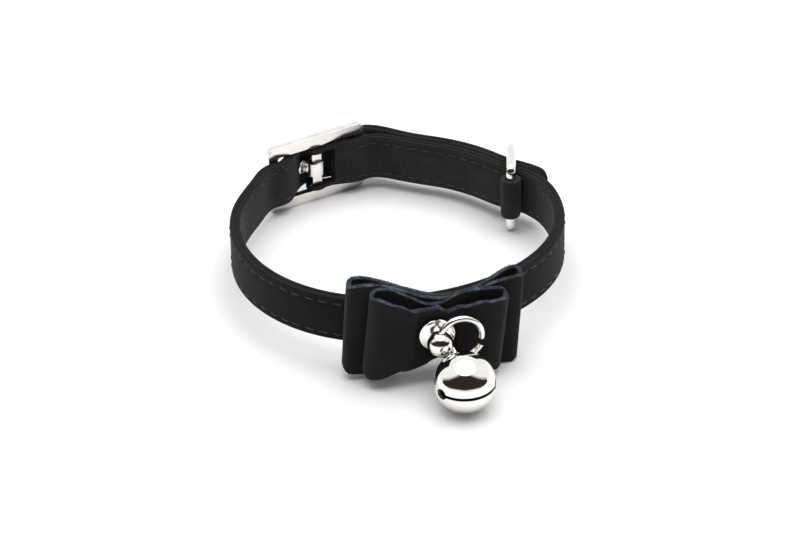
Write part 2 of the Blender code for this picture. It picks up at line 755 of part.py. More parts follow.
def make_stud():
    """Riveted stud: inner cap, shank, dished disc, neck and a ball drilled for the jump ring."""
    cap_face = -STRAP_THICK - 2 * GAP
    disc = BOW_STACK
    ball = 0.5 * STUD_BALL
    neck = 0.5 * STUD_NECK
    edge = 0.3 * STUD_CAP_THICK
    profile = [
        (cap_face - STUD_CAP_THICK, 0.0),
        (cap_face - STUD_CAP_THICK, 0.5 * STUD_CAP - edge),
        (cap_face - STUD_CAP_THICK + edge, 0.5 * STUD_CAP),
        (cap_face, 0.5 * STUD_CAP),
        (cap_face, 0.5 * STUD_SHANK),
        (disc, 0.5 * STUD_SHANK),
        (disc, 0.5 * STUD_DISC),
        (disc + STUD_RIM, 0.5 * STUD_DISC),
        (disc + STUD_RIM + 0.45 * STUD_CONE, 0.34 * STUD_DISC),
        (disc + STUD_RIM + STUD_CONE, neck),
    ]
    start = math.asin(neck / ball)
    for step in range(STUD_ROWS + 1):
        a = start + (math.pi - start) * step / STUD_ROWS
        radius = ball * math.sin(a) if step < STUD_ROWS else 0.0
        profile.append((disc + STUD_REACH - ball * math.cos(a), radius))
    stud = add_turned("bell_stud", profile, STUD_FRAME, STUD_STEPS, "chrome")
    cutter = add_tube("ring_way", jump_path(full=True), 0.5 * JUMP_WIRE + GAP, True, JUMP_SIDE)
    boolean(stud, cutter)
    return stud


def jump_point(degrees):
    angle = math.radians(degrees)
    return JUMP_MIDDLE + JUMP_RADIUS * (math.cos(angle) * JUMP_ALONG + math.sin(angle) * UP)


def jump_path(full):
    """Points round the jump ring; the real one starts and ends at its sprung gap."""
    if full:
        return [jump_point(FULL_TURN * step / JUMP_STEPS) for step in range(JUMP_STEPS)]
    start = JUMP_GAP_TURN + 0.5 * JUMP_GAP_SWEEP
    sweep = FULL_TURN - JUMP_GAP_SWEEP
    points = []
    for step in range(JUMP_STEPS + 1):
        share = step / JUMP_STEPS
        points.append(jump_point(start + sweep * share) + (share - 0.5) * JUMP_SPRUNG * JUMP_SIDE)
    return points


def make_jump_ring():
    return add_tube("jump_ring", jump_path(full=False), 0.5 * JUMP_WIRE, False, JUMP_SIDE, "chrome", JUMP_SIDES)


def add_ball(name, radius, finish=None):
    turns = [math.pi * row / BALL_ROWS for row in range(1, BALL_ROWS)]
    profile = [(-radius * math.cos(a), radius * math.sin(a)) for a in turns]
    profile = [(-radius, 0.0)] + profile + [(radius, 0.0)]
    return add_turned(name, profile, BALL_FRAME, BALL_STEPS, finish)


def make_bell():
    """Hollow bell with its shank loop on the jump ring and its slit between two round holes."""
    radius = 0.5 * BELL_DIAMETER
    bell = add_ball("bell", radius, "chrome")
    middle = Vector((0.0, -SHANK_REACH, 0.0))
    side = BELL_FRAME.to_3x3() @ Vector((1, 0, 0))
    turns = [math.tau * step / SHANK_STEPS for step in range(SHANK_STEPS)]
    path = [middle + SHANK_RADIUS * Vector((0, math.cos(a), math.sin(a))) for a in turns]
    shank = add_tube("shank", [BELL_FRAME @ spot for spot in path], 0.5 * SHANK_WIRE, True, side, sides=WIRE_SIDES)
    boolean(bell, shank, "UNION")
    boolean(bell, add_ball("bell_hollow", radius - BELL_WALL))
    slit_frame = BELL_FRAME @ Matrix.Rotation(math.radians(BELL_SLIT_RISE), 4, "X")
    hole_at = radius * math.cos(math.radians(BELL_SLIT_HALF))
    slit_low = (-2 * radius, hole_at, -0.5 * BELL_SLIT)
    slit_high = (2 * radius, 2 * radius, 0.5 * BELL_SLIT)
    boolean(bell, add_box("slit_cut", slit_low, slit_high, slit_frame))
    holes = slit_frame @ axes_frame(Vector((0, hole_at, 0)), Vector((0, 1, 0)), Vector((1, 0, 0)), UP)
    boolean(bell, add_pin_cutter("bell_holes", holes, 0.5 * BELL_HOLE, 2 * radius, 16))
    return bell


# Places of the bow, stud, jump ring and bell
BOW_PAIR = 2 * BOW_PLY + GAP
BOW_STACK = 3 * GAP + 2 * BOW_PAIR
SHANK_HOLE = 0.5 * STUD_SHANK + CLOSE_GAP
BOW_SEAT = strap_frame(strap_index(BOW_TURN))
BOW_NORMAL = Matrix.Rotation(math.radians(BOW_SWING), 3, "Z") @ (BOW_SEAT.to_3x3() @ Vector((0, 1, 0)))
BOW_FACE = BOW_SEAT @ Vector((0.0, 0.5 * STRAP_THICK, 0.0))
BOW_FACE.z = 0.5 * BACK_BOW_HEIGHT
BOW_FRAME = axes_frame(BOW_FACE, UP.cross(BOW_NORMAL), BOW_NORMAL, UP)
STUD_FRAME = BOW_FRAME
JUMP_ALONG = BOW_FRAME.to_3x3() @ Vector((math.cos(math.radians(JUMP_SWING)), -math.sin(math.radians(JUMP_SWING)), 0))
JUMP_SIDE = JUMP_ALONG.cross(UP)
BALL_MIDDLE = BOW_FRAME @ Vector((0, BOW_STACK + STUD_REACH, 0))
JUMP_ASIDE = math.sqrt(JUMP_RADIUS ** 2 - JUMP_LIFT ** 2)
JUMP_MIDDLE = BALL_MIDDLE + JUMP_ASIDE * JUMP_ALONG + JUMP_LIFT * UP
SHANK_REACH = 0.5 * BELL_DIAMETER + SHANK_RADIUS - SHANK_ROOT
HOOK = jump_point(HOOK_TURN)
BELL_DROP = math.asin((HOOK.z - 0.5 * BELL_DIAMETER) / SHANK_REACH)
BELL_TURN = math.radians(BELL_POLE_TURN)
BELL_LEVEL = BOW_FRAME.to_3x3() @ Vector((math.sin(BELL_TURN), math.cos(BELL_TURN), 0))
BELL_POLE = math.cos(BELL_DROP) * BELL_LEVEL - math.sin(BELL_DROP) * UP
BELL_ACROSS = BELL_POLE.cross(UP).normalized()
BELL_MIDDLE = HOOK + SHANK_REACH * BELL_POLE
BELL_FRAME = axes_frame(BELL_MIDDLE, BELL_ACROSS, BELL_POLE, BELL_ACROSS.cross(BELL_POLE))
BALL_FRAME = axes_frame(BELL_MIDDLE, BELL_ACROSS, UP, BELL_ACROSS.cross(UP))


def centre_on_base():
    """Move everything so that the middle of the collar's plan box is the origin."""
    spots = [spot.co for made in bpy.data.objects if not made.hide_render for spot in made.data.vertices]
    middle = [0.5 * (min(spot[axis] for spot in spots) + max(spot[axis] for spot in spots)) for axis in (0, 1)]
    for made in bpy.data.objects:
        made.data.transform(Matrix.Translation((-middle[0], -middle[1], 0.0)))


def main():
    for old in list(bpy.data.objects):
        bpy.data.objects.remove(old)
    make_strap()
    for number in range(SPARE_HOLES + 1):
        make_eyelet(number)
    make_buckle()
    make_tongue()
    make_leash_ring()
    make_bows()
    make_stud()
    make_jump_ring()
    make_bell()
    centre_on_base()


main()
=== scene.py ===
"""Looks of a small black leather collar with a two layer bow, a riveted stud, a jump ring and a round bell.

Each piece is modelled about the middle of the worn loop and then set in place with put(),
which leaves its object at the origin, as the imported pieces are.
"""

import json
import math
import random

import bpy
import numpy as np
from mathutils import Matrix, Vector
from mathutils.kdtree import KDTree

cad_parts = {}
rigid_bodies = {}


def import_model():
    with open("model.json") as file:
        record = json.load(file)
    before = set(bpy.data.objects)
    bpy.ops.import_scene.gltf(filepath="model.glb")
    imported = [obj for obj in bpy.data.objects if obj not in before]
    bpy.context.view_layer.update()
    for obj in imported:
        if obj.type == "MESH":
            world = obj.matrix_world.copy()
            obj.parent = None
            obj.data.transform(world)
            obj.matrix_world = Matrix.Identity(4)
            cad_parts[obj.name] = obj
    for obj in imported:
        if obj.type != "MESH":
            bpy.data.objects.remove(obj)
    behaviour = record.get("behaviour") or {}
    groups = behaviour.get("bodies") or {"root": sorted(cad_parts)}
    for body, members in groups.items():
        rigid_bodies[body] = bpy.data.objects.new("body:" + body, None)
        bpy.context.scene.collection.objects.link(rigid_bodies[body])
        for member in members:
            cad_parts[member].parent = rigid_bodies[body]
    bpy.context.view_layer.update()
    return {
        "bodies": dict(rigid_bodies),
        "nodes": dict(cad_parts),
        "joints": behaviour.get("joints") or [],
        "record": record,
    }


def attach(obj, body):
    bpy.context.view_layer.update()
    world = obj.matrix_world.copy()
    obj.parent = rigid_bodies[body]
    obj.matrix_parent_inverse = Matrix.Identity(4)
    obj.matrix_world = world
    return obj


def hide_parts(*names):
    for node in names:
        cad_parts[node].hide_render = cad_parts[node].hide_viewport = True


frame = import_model()

MM = 0.001
UP = Vector((0.0, 0.0, 1.0))
ROOT = "root"

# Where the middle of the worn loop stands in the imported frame
LOOP_MIDDLE = Vector((-1.0649, 9.3214, 0.0)) * MM

# The photograph's view, about the loop's middle: place of the lens and its right, up and viewing directions
LENS_PLACE = Vector((-137.961, -641.358, 444.693)) * MM
VIEW_RIGHT = Vector((0.97489, -0.22221, -0.01478))
VIEW_UP = Vector((0.13634, 0.54305, 0.82856))
VIEW_AHEAD = Vector((0.17609, 0.80977, -0.55970))
LENS_LENGTH = 157.545
FILM_WIDTH = 36.0

# Dark room behind the camera, which the metal mirrors: its middle's rise above the table in
# degrees, how steeply it ends aside, above and below, and its soft border
ROOM_RISE = 30.0
ROOM_ASIDE = 0.55
ROOM_ABOVE = 0.98
ROOM_BELOW = 1.9
ROOM_POINTED = 1.25
ROOM_DARK = (0.034, 0.022, 0.019)
ROOM_BORDER = (0.56, 0.72)

# Soft overhead lamp
LAMP_PLACE = Vector((0.05, 0.0, 1.35))
LAMP_SIZE = 1.7
LAMP_POWER = 21.0

# Strap
GAP = 0.3 * MM
CLOSE_GAP = 0.15 * MM
STRAP_WIDTH = 11.0 * MM
STRAP_THICK = 2.4 * MM
STRAP_STEP = 0.9 * MM
LOOP_RADIUS = 36.0 * MM
TAIL_TURN = 92.3
TAIL_CORNER = 2.2 * MM
LOOP_PLAN = (
    (33.8, 0.957),
    (50.8, 0.924),
    (68.8, 0.910),
    (77.8, 0.920),
    (85.8, 0.972),
    (93.8, 1.014),
    (106.8, 1.032),
    (126.8, 1.037),
    (146.8, 1.021),
    (171.8, 0.989),
    (196.8, 0.980),
    (226.8, 0.997),
    (256.8, 0.994),
    (286.8, 0.983),
    (311.8, 0.977),
    (329.8, 0.992),
)
OVERLAP_ROWS = 5

# Half of the strap's section, from the middle of its outer face to the middle of its top edge:
# distance in from the outer face and distance down from the top edge, in mm
SECTION_HALF = (
    (0.00, 5.50),
    (0.00, 3.60),
    (0.00, 2.20),
    (0.03, 1.85),
    (0.14, 1.50),
    (0.03, 1.15),
    (0.00, 0.85),
    (0.00, 0.42),
    (0.07, 0.16),
    (0.26, 0.03),
    (0.55, 0.00),
    (0.92, 0.02),
    (1.09, 0.08),
    (1.20, 0.26),
)

# Stitching
STITCH_INSET = 1.5 * MM
STITCH_PITCH = 3.3 * MM
STITCH_LENGTH = 2.5 * MM
STITCH_START = 11.0 * MM
STITCH_STOP = 3.0 * MM
STITCH_SAG = 0.16 * MM
STITCH_SLANT = 0.05 * MM
THREAD = 0.42 * MM

# Buckle
BUCKLE_ANGLE = 106.8
BUCKLE_SEAT = 36.5 * MM
BUCKLE_LENGTH = 25.0 * MM
BUCKLE_THICK = 1.6 * MM
BUCKLE_HEIGHT = 17.0 * MM
RAIL_HEIGHT = 2.6 * MM
END_BAR = 2.4 * MM
CENTRE_BAR = 2.4 * MM
BUCKLE_CORNER = 1.6 * MM
EYE_PLY = 1.0 * MM
SLOT_HEIGHT = 9.0 * MM
SLOT_REACH = 4.2 * MM
KNUCKLE_WALL = 0.75 * MM
KNUCKLE_HEIGHT = 3.3 * MM
TONGUE_WIRE = 1.2 * MM
TONGUE_RISE = 1.0 * MM
TONGUE_TIP = 0.9 * MM

# Eyelets
EYELET_SETBACK = 3.7 * MM
EYELET_BORE = 2.0 * MM
EYELET_WALL = 0.3 * MM
EYELET_FLANGE = 3.5 * MM
EYELET_LIP = 0.4 * MM
HOLE_PITCH = 12.0 * MM
SPARE_HOLES = 4

# Leash ring and its sleeve, about the middle of the ring's straight side
RING_PLACE = Vector((29.863, 9.977, 9.396)) * MM
STRAP_OUT_THERE = Vector((0.7303, 0.6832, 0.0))
RING_SWING = 32.0
RING_WIRE = 2.3 * MM
RING_HEIGHT = 18.0 * MM
RING_CORNER = 1.2 * MM
RING_STRAIGHT = 8.0 * MM
RING_ARCH = 5.0 * MM
SLEEVE_WALL = 1.0 * MM
SLEEVE_LENGTH = 10.3 * MM
SLEEVE_ROUND = 0.9 * MM

# Bow
BOW_PLACE = Vector((0.348, -36.474, 12.0)) * MM
BOW_NORMAL = Vector((-0.0400, -0.9992, 0.0))
BOW_PLY = 1.1 * MM
BACK_BOW_LEAN = 4.0
FRONT_BOW_LEAN = 6.0
BOW_CORNER = 1.3 * MM
BOW_STEP = 0.45 * MM
BOW_ROWS = 22
BOW_EDGE_ROUND = 0.22 * MM
BOW_EDGE_WEAR = 0.05 * MM
FIBRES_ABOVE = 7
FIBRES_BELOW = 2
FIBRE_RADIUS = 0.055 * MM
FIBRE_LENGTH = 0.60 * MM
FIBRE_LIFT = 0.22 * MM
FIBRE_CLEAR = 0.9 * MM
SPLAY_ABOVE = 1.2 * MM
SPLAY_BELOW = 2.4 * MM
SPLAY_FROM = 2.6 * MM
SPLAY_OVER = 4.4 * MM
SPLAY_WIDTH = 8.0 * MM
BACK_BOW = {"width": 38.8 * MM, "height": 24.0 * MM, "depth": 4.2 * MM, "recede": 0.4 * MM}
FRONT_BOW = {"width": 30.4 * MM, "height": 22.0 * MM, "depth": 4.9 * MM, "recede": 0.1 * MM}

# Fold of each bow band: share of the half width, front ply and back ply as shares of the depth
BACK_BOW_LEFT = (
    (0.00, 0.00, 0.00),
    (0.20, 0.00, 0.00),
    (0.45, 0.00, 0.00),
    (0.70, 0.00, 0.16),
    (0.90, 0.10, 0.34),
    (0.985, 0.03, 0.22),
)
BACK_BOW_RIGHT = (
    (0.00, 0.00, 0.00),
    (0.20, 0.00, 0.00),
    (0.45, 0.00, 0.00),
    (0.70, 0.00, 0.21),
    (0.90, 0.13, 0.44),
    (0.985, 0.04, 0.29),
)
FRONT_BOW_LEFT = (
    (0.00, -0.02, 0.00),
    (0.15, -0.02, 0.00),
    (0.29, -0.02, 0.00),
    (0.43, 0.28, 0.00),
    (0.58, 0.50, 0.00),
    (0.75, 0.56, 0.00),
    (0.92, 0.38, 0.00),
    (0.985, 0.15, 0.02),
)
FRONT_BOW_RIGHT = (
    (0.00, -0.02, 0.00),
    (0.15, -0.02, 0.00),
    (0.29, -0.02, 0.00),
    (0.42, 0.24, 0.00),
    (0.54, 0.36, 0.00),
    (0.66, 0.40, 0.00),
    (0.80, 0.50, 0.00),
    (0.92, 0.44, 0.00),
    (0.985, 0.20, 0.02),
)

# Cut edges of each bow band from left to right: share of the half width, then the lower and
# upper edge above the table as shares of the band's height
BACK_BOW_EDGES = (
    (-1.00, 0.085, 1.020),
    (-0.70, 0.050, 1.000),
    (-0.40, 0.090, 0.915),
    (0.00, 0.210, 0.790),
    (0.40, 0.110, 0.800),
    (0.70, 0.020, 0.890),
    (1.00, 0.000, 0.950),
)
FRONT_BOW_EDGES = (
    (-1.00, 0.105, 1.070),
    (-0.80, 0.145, 1.030),
    (-0.50, 0.205, 0.920),
    (-0.28, 0.198, 0.850),
    (0.00, 0.268, 0.815),
    (0.50, 0.160, 0.845),
    (0.80, 0.100, 0.845),
    (1.00, 0.070, 0.865),
)

# How the upper edges of the front bow's two plies part: share of the half width, then the rise of
# the front ply and of the back ply as shares of the band's height
FRONT_BOW_PARTING = (
    (-1.00, 0.000, 0.000),
    (-0.75, 0.000, 0.050),
    (-0.53, 0.005, 0.060),
    (-0.36, -0.020, 0.050),
    (-0.16, 0.015, 0.020),
    (-0.02, 0.050, 0.020),
    (0.08, -0.020, 0.030),
    (0.20, -0.030, 0.075),
    (0.38, 0.010, 0.100),
    (0.60, 0.045, 0.100),
    (0.90, 0.060, 0.080),
    (1.00, 0.050, 0.050),
)

# Stud
STUD_DISC = 7.9 * MM
STUD_RIM = 0.6 * MM
STUD_CONE = 0.9 * MM
STUD_NECK = 2.6 * MM
STUD_BALL = 5.7 * MM
STUD_REACH = 3.8 * MM
STUD_SHANK = 2.0 * MM
STUD_CAP = 5.4 * MM
STUD_CAP_THICK = 0.8 * MM

# Jump ring
JUMP_WIRE = 1.4 * MM
JUMP_RADIUS = 4.65 * MM
JUMP_LIFT = 0.9 * MM
JUMP_SWING = 1.5
JUMP_GAP_TURN = -18.0
JUMP_GAP_SWEEP = 12.0
JUMP_SPRUNG = 1.0 * MM

# Bell
BELL_DIAMETER = 13.4 * MM
BELL_WALL = 0.7 * MM
HOOK_TURN = -112.0
BELL_POLE_TURN = 7.0
BELL_SLIT_RISE = 15.0
BELL_SLIT = 0.75 * MM
BELL_SLIT_HALF = 67.0
BELL_HOLE = 2.464 * MM
SHANK_WIRE = 1.1 * MM
SHANK_RADIUS = 1.7 * MM
SHANK_ROOT = 0.35 * MM


def deselect():
    bpy.ops.object.select_all(action="DESELECT")


def take(piece):
    """Make one piece the only selected and active one."""
    deselect()
    piece.select_set(True)
    bpy.context.view_layer.objects.active = piece


def fix_place():
    """Apply the place, turn and size of what is selected to its points."""
    bpy.ops.object.transform_apply(location=True, rotation=True, scale=True)


def copy_of(piece):
    """Copy a piece with its own mesh."""
    copy = piece.copy()
    copy.data = piece.data.copy()
    bpy.context.scene.collection.objects.link(copy)
    return copy


def name_new(name):
    piece = bpy.context.object
    piece.name = name
    piece.data.name = name
    return piece


def apply_modifiers(piece):
    take(piece)
    for step in list(piece.modifiers):
        bpy.ops.object.modifier_apply(modifier=step.name)


def set_place(piece, place):
    """Apply a place to a piece's own points, with its faces kept outward where the place mirrors it."""
    piece.matrix_world = place
    fix_place()
    if place.to_3x3().determinant() < 0:
        bpy.ops.object.mode_set(mode="EDIT")
        bpy.ops.mesh.select_all(action="SELECT")
        bpy.ops.mesh.normals_make_consistent(inside=False)
        bpy.ops.object.mode_set(mode="OBJECT")


def put(piece, place):
    """Move a finished piece to its place and leave its object at the origin."""
    take(piece)
    set_place(piece, Matrix.Translation(LOOP_MIDDLE) @ place)


def round_edges(piece, width, segments, degrees, finish=-1):
    """Round the edges sharper than an angle, in one of the piece's finishes if it is given."""
    ease = piece.modifiers.new("rounded_edges", "BEVEL")
    ease.width = width
    ease.segments = segments
    ease.limit_method = "ANGLE"
    ease.angle_limit = math.radians(degrees)
    ease.material = finish
    apply_modifiers(piece)


def smooth(piece, degrees):
    take(piece)
    bpy.ops.object.shade_smooth_by_angle(angle=math.radians(degrees))


def join(pieces, name):
    deselect()
    for piece in pieces:
        piece.select_set(True)
    bpy.context.view_layer.objects.active = pieces[0]
    bpy.ops.object.join()
    return name_new(name)


def cut(piece, cutter, operation="DIFFERENCE"):
    """Cut or join with another piece, which is used up."""
    step = piece.modifiers.new("cut", "BOOLEAN")
    step.operation = operation
    step.solver = "EXACT"
    step.object = cutter
    apply_modifiers(piece)
    bpy.data.objects.remove(cutter)


def axes_frame(origin, first, second, third):
    made = Matrix((first, second, third)).transposed().to_4x4()
    made.translation = origin
    return made


def plan_direction(degrees):
    angle = math.radians(degrees)
    return Vector((math.cos(angle), math.sin(angle), 0.0))


def smooth_curve(points, spacing, closed=False):
    """Read evenly spaced points from a cubic curve through the given points."""
    given = np.array([tuple(point) for point in points])
    if closed:
        given = np.vstack([given[-3:], given, given[:4]])
    knots = np.concatenate([[0.0], np.cumsum(np.linalg.norm(np.diff(given, axis=0), axis=1))])
    spans = np.diff(knots)
    count = len(knots)
    system = np.eye(count)
    right = np.zeros_like(given)
    for row in range(1, count - 1):
        system[row, row - 1] = spans[row - 1]
        system[row, row] = 2 * (spans[row - 1] + spans[row])
        system[row, row + 1] = spans[row]
        rise = (given[row + 1] - given[row]) / spans[row] - (given[row] - given[row - 1]) / spans[row - 1]
        right[row] = 6 * rise
    bend = np.linalg.solve(system, right)

    def at(place):
        cell = min(max(int(np.searchsorted(knots, place) - 1), 0), count - 2)
        width = spans[cell]
        late = (place - knots[cell]) / width
        early = 1 - late
        line = early * given[cell] + late * given[cell + 1]
        curve = (early ** 3 - early) * bend[cell] + (late ** 3 - late) * bend[cell + 1]
        return line + curve * width * width / 6

    first, last = (knots[3], knots[count - 4]) if closed else (knots[0], knots[-1])
    steps = max(int(round((last - first) / spacing)), 8)
    places = np.linspace(first, last, steps + 1)
    if closed:
        places = places[:-1]
    return [Vector(at(place)) for place in places]


# Places that follow from the sizes above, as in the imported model
BUCKLE_OUT = plan_direction(BUCKLE_ANGLE)
BUCKLE_RIGHT = BUCKLE_OUT.cross(UP)
BUCKLE_MIDDLE = BUCKLE_SEAT * BUCKLE_OUT + 0.5 * BUCKLE_HEIGHT * UP
BUCKLE_FRAME = axes_frame(BUCKLE_MIDDLE, BUCKLE_RIGHT, BUCKLE_OUT, UP)
END_BAR_AT = 0.5 * (BUCKLE_LENGTH - END_BAR)
LAYER_STEP = STRAP_THICK + GAP
BAR_LIFT = 0.5 * BUCKLE_THICK + GAP + 0.5 * STRAP_THICK
EYE_OUTER = 0.5 * BUCKLE_THICK + GAP + EYE_PLY
CROWN_LIFT = EYE_OUTER + GAP + 0.5 * STRAP_THICK
BOW_PAIR = 2 * BOW_PLY + GAP
BOW_STACK = 3 * GAP + 2 * BOW_PAIR
BOW_FRAME = axes_frame(BOW_PLACE, UP.cross(BOW_NORMAL), BOW_NORMAL, UP)
RING_OUT = Matrix.Rotation(math.radians(RING_SWING), 3, "Z") @ STRAP_OUT_THERE
RING_MIDDLE = Vector((RING_PLACE.x, RING_PLACE.y, 0.5 * RING_HEIGHT))
RING_FRAME = axes_frame(RING_MIDDLE, RING_OUT.cross(UP), RING_OUT, UP)
SLEEVE_FRAME = axes_frame(RING_PLACE, STRAP_OUT_THERE, UP, STRAP_OUT_THERE.cross(UP))
SLEEVE_BORE = 0.5 * RING_WIRE + CLOSE_GAP
JUMP_ALONG = BOW_FRAME.to_3x3() @ plan_direction(-JUMP_SWING)
JUMP_SIDE = JUMP_ALONG.cross(UP)
BALL_MIDDLE = BOW_FRAME @ Vector((0, BOW_STACK + STUD_REACH, 0))
JUMP_MIDDLE = BALL_MIDDLE + math.sqrt(JUMP_RADIUS ** 2 - JUMP_LIFT ** 2) * JUMP_ALONG + JUMP_LIFT * UP


def jump_point(degrees):
    angle = math.radians(degrees)
    return JUMP_MIDDLE + JUMP_RADIUS * (math.cos(angle) * JUMP_ALONG + math.sin(angle) * UP)


SHANK_REACH = 0.5 * BELL_DIAMETER + SHANK_RADIUS - SHANK_ROOT
HOOK = jump_point(HOOK_TURN)
BELL_DROP = math.asin((HOOK.z - 0.5 * BELL_DIAMETER) / SHANK_REACH)
BELL_TURN = math.radians(BELL_POLE_TURN)
BELL_LEVEL = BOW_FRAME.to_3x3() @ Vector((math.sin(BELL_TURN), math.cos(BELL_TURN), 0))
BELL_POLE = math.cos(BELL_DROP) * BELL_LEVEL - math.sin(BELL_DROP) * UP
BELL_ACROSS = BELL_POLE.cross(UP).normalized()
BELL_MIDDLE = HOOK + SHANK_REACH * BELL_POLE
BELL_FRAME = axes_frame(BELL_MIDDLE, BELL_ACROSS, BELL_POLE, BELL_ACROSS.cross(BELL_POLE))


def strap_height(point):
    front = -LOOP_RADIUS
    back = BUCKLE_MIDDLE.y - 0.5 * END_BAR_AT
    share = min(max((point.y - front) / (back - front), 0.0), 1.0)
    return 0.5 * (BACK_BOW["height"] * (1 - share) + BUCKLE_HEIGHT * share)


def buckle_point(along, out):
    point = BUCKLE_FRAME @ Vector((along, out, 0.0))
    return Vector((point.x, point.y, 0.0))


def loop_point(row, layers=0):
    turn, share = row
    return (share * LOOP_RADIUS + layers * LAYER_STEP) * plan_direction(BUCKLE_ANGLE - turn)


def strap_plan():
    """Middle line of the strap, from its folded end at the centre bar to the tip of the tail."""
    bar_edges = (END_BAR_AT - 0.5 * END_BAR, END_BAR_AT + 0.5 * END_BAR)
    points = [buckle_point(0.0, 0.0), buckle_point(0.45 * END_BAR_AT, -0.4 * BAR_LIFT)]
    points += [buckle_point(along, -BAR_LIFT) for along in bar_edges]
    points += [loop_point(row) for row in LOOP_PLAN]
    points += [buckle_point(-along, -BAR_LIFT) for along in reversed(bar_edges)]
    points.append(buckle_point(-0.38 * END_BAR_AT, 0.62 * CROWN_LIFT))
    points.append(buckle_point(0.0, CROWN_LIFT))
    points.append(buckle_point(0.5 * END_BAR_AT, 0.5 * (CROWN_LIFT + BAR_LIFT)))
    points += [buckle_point(along, BAR_LIFT) for along in bar_edges]
    points += [loop_point(row, layers=1) for row in LOOP_PLAN[:OVERLAP_ROWS - 1]]
    last = LOOP_PLAN[OVERLAP_ROWS - 1]
    beyond = LOOP_PLAN[OVERLAP_ROWS]
    share = (TAIL_TURN - last[0]) / (beyond[0] - last[0])
    points.append(loop_point(last, layers=1))
    points.append(loop_point((TAIL_TURN, last[1] + share * (beyond[1] - last[1])), layers=1))
    line = smooth_curve(points, STRAP_STEP)
    return [point + strap_height(point) * UP for point in line]


STRAP_LINE = strap_plan()


def outward(index):
    along = STRAP_LINE[min(index + 1, len(STRAP_LINE) - 1)] - STRAP_LINE[max(index - 1, 0)]
    return Vector((-along.y, along.x, 0.0)).normalized()


STRAP_OUTS = [outward(index) for index in range(len(STRAP_LINE))]
STRAP_RUN = [0.0]
for here, there in zip(STRAP_LINE, STRAP_LINE[1:]):
    STRAP_RUN.append(STRAP_RUN[-1] + (there - here).length)
CROWN = buckle_point(0.0, CROWN_LIFT) + strap_height(BUCKLE_MIDDLE) * UP
CROWN_RUN = STRAP_RUN[min(range(len(STRAP_LINE) // 2, len(STRAP_LINE)),
                          key=lambda index: (STRAP_LINE[index] - CROWN).length)]


def frame_at_run(run):
    """Frame on the strap's middle line at a distance from its folded end: along, outward, up."""
    index = min(max(int(np.searchsorted(STRAP_RUN, run)) - 1, 0), len(STRAP_LINE) - 2)
    share = (run - STRAP_RUN[index]) / (STRAP_RUN[index + 1] - STRAP_RUN[index])
    out = STRAP_OUTS[index].lerp(STRAP_OUTS[index + 1], share).normalized()
    return axes_frame(STRAP_LINE[index].lerp(STRAP_LINE[index + 1], share), out.cross(UP), out, UP)


def eyelet_frame(number):
    return frame_at_run(CROWN_RUN + number * HOLE_PITCH - EYELET_SETBACK)


# Finishes


def new_finish(name, slots):
    """Start a material with a Principled shader and set its plain sockets."""
    made = bpy.data.materials.new(name)
    made.use_nodes = True
    shader = made.node_tree.nodes["Principled BSDF"]
    for socket, value in slots.items():
        shader.inputs[socket].default_value = value
    return made, made.node_tree, shader


def add_node(tree, kind, settings=None, **values):
    node = tree.nodes.new(kind)
    for key, value in (settings or {}).items():
        setattr(node, key, value)
    for socket, value in values.items():
        node.inputs[socket.replace("_", " ")].default_value = value
    return node


def math_node(tree, operation, *values):
    """Math node on sockets and plain numbers."""
    node = add_node(tree, "ShaderNodeMath", {"operation": operation})
    for socket, value in zip(node.inputs, values):
        if isinstance(value, float):
            socket.default_value = value
        else:
            tree.links.new(value, socket)
    return node.outputs[0]


def noise(tree, scale, detail=4.0, roughness=0.6):
    place = add_node(tree, "ShaderNodeTexCoord")
    texture = add_node(tree, "ShaderNodeTexNoise", Scale=scale, Detail=detail, Roughness=roughness)
    tree.links.new(place.outputs["Object"], texture.inputs["Vector"])
    return texture.outputs["Fac"]


def colour_ramp(tree, value, stops):
    ramp = add_node(tree, "ShaderNodeValToRGB")
    ramp.color_ramp.elements[0].position = stops[0][0]
    ramp.color_ramp.elements[0].color = (*stops[0][1], 1.0)
    ramp.color_ramp.elements[1].position = stops[-1][0]
    ramp.color_ramp.elements[1].color = (*stops[-1][1], 1.0)
    for position, colour in stops[1:-1]:
        ramp.color_ramp.elements.new(position).color = (*colour, 1.0)
    tree.links.new(value, ramp.inputs["Fac"])
    return ramp.outputs["Color"]


def span(tree, value, low, high):
    node = add_node(tree, "ShaderNodeMapRange", To_Min=low, To_Max=high)
    tree.links.new(value, node.inputs["Value"])
    return node.outputs["Result"]


def bump(tree, shader, heights):
    """Chain bumps, each given as (height, strength, distance)."""
    below = None
    for height, strength, distance in heights:
        node = add_node(tree, "ShaderNodeBump", Strength=strength, Distance=distance)
        tree.links.new(height, node.inputs["Height"])
        if below:
            tree.links.new(below, node.inputs["Normal"])
        below = node.outputs["Normal"]
    tree.links.new(below, shader.inputs["Normal"])


def nubuck(name, dark, light, nap_scale=5200.0):
    """Brushed black leather: fine nap, soft rubbed patches and a faint sheen."""
    made, tree, shader = new_finish(name, {
        "Roughness": 0.92, "Specular IOR Level": 0.14, "Sheen Weight": 0.05, "Sheen Roughness": 0.5,
        "Sheen Tint": (0.90, 0.90, 0.92, 1.0)})
    patches = noise(tree, 160.0, detail=3.0)
    nap = noise(tree, nap_scale, detail=3.0, roughness=0.7)
    grain = noise(tree, 1500.0, detail=5.0)
    mixed = math_node(tree, "MULTIPLY_ADD", grain, 0.45, span(tree, patches, 0.05, 0.55))
    tree.links.new(colour_ramp(tree, mixed, ((0.30, dark), (0.75, light))), shader.inputs["Base Color"])
    bump(tree, shader, ((grain, 0.35, 0.00012), (nap, 0.55, 0.00006)))
    return made


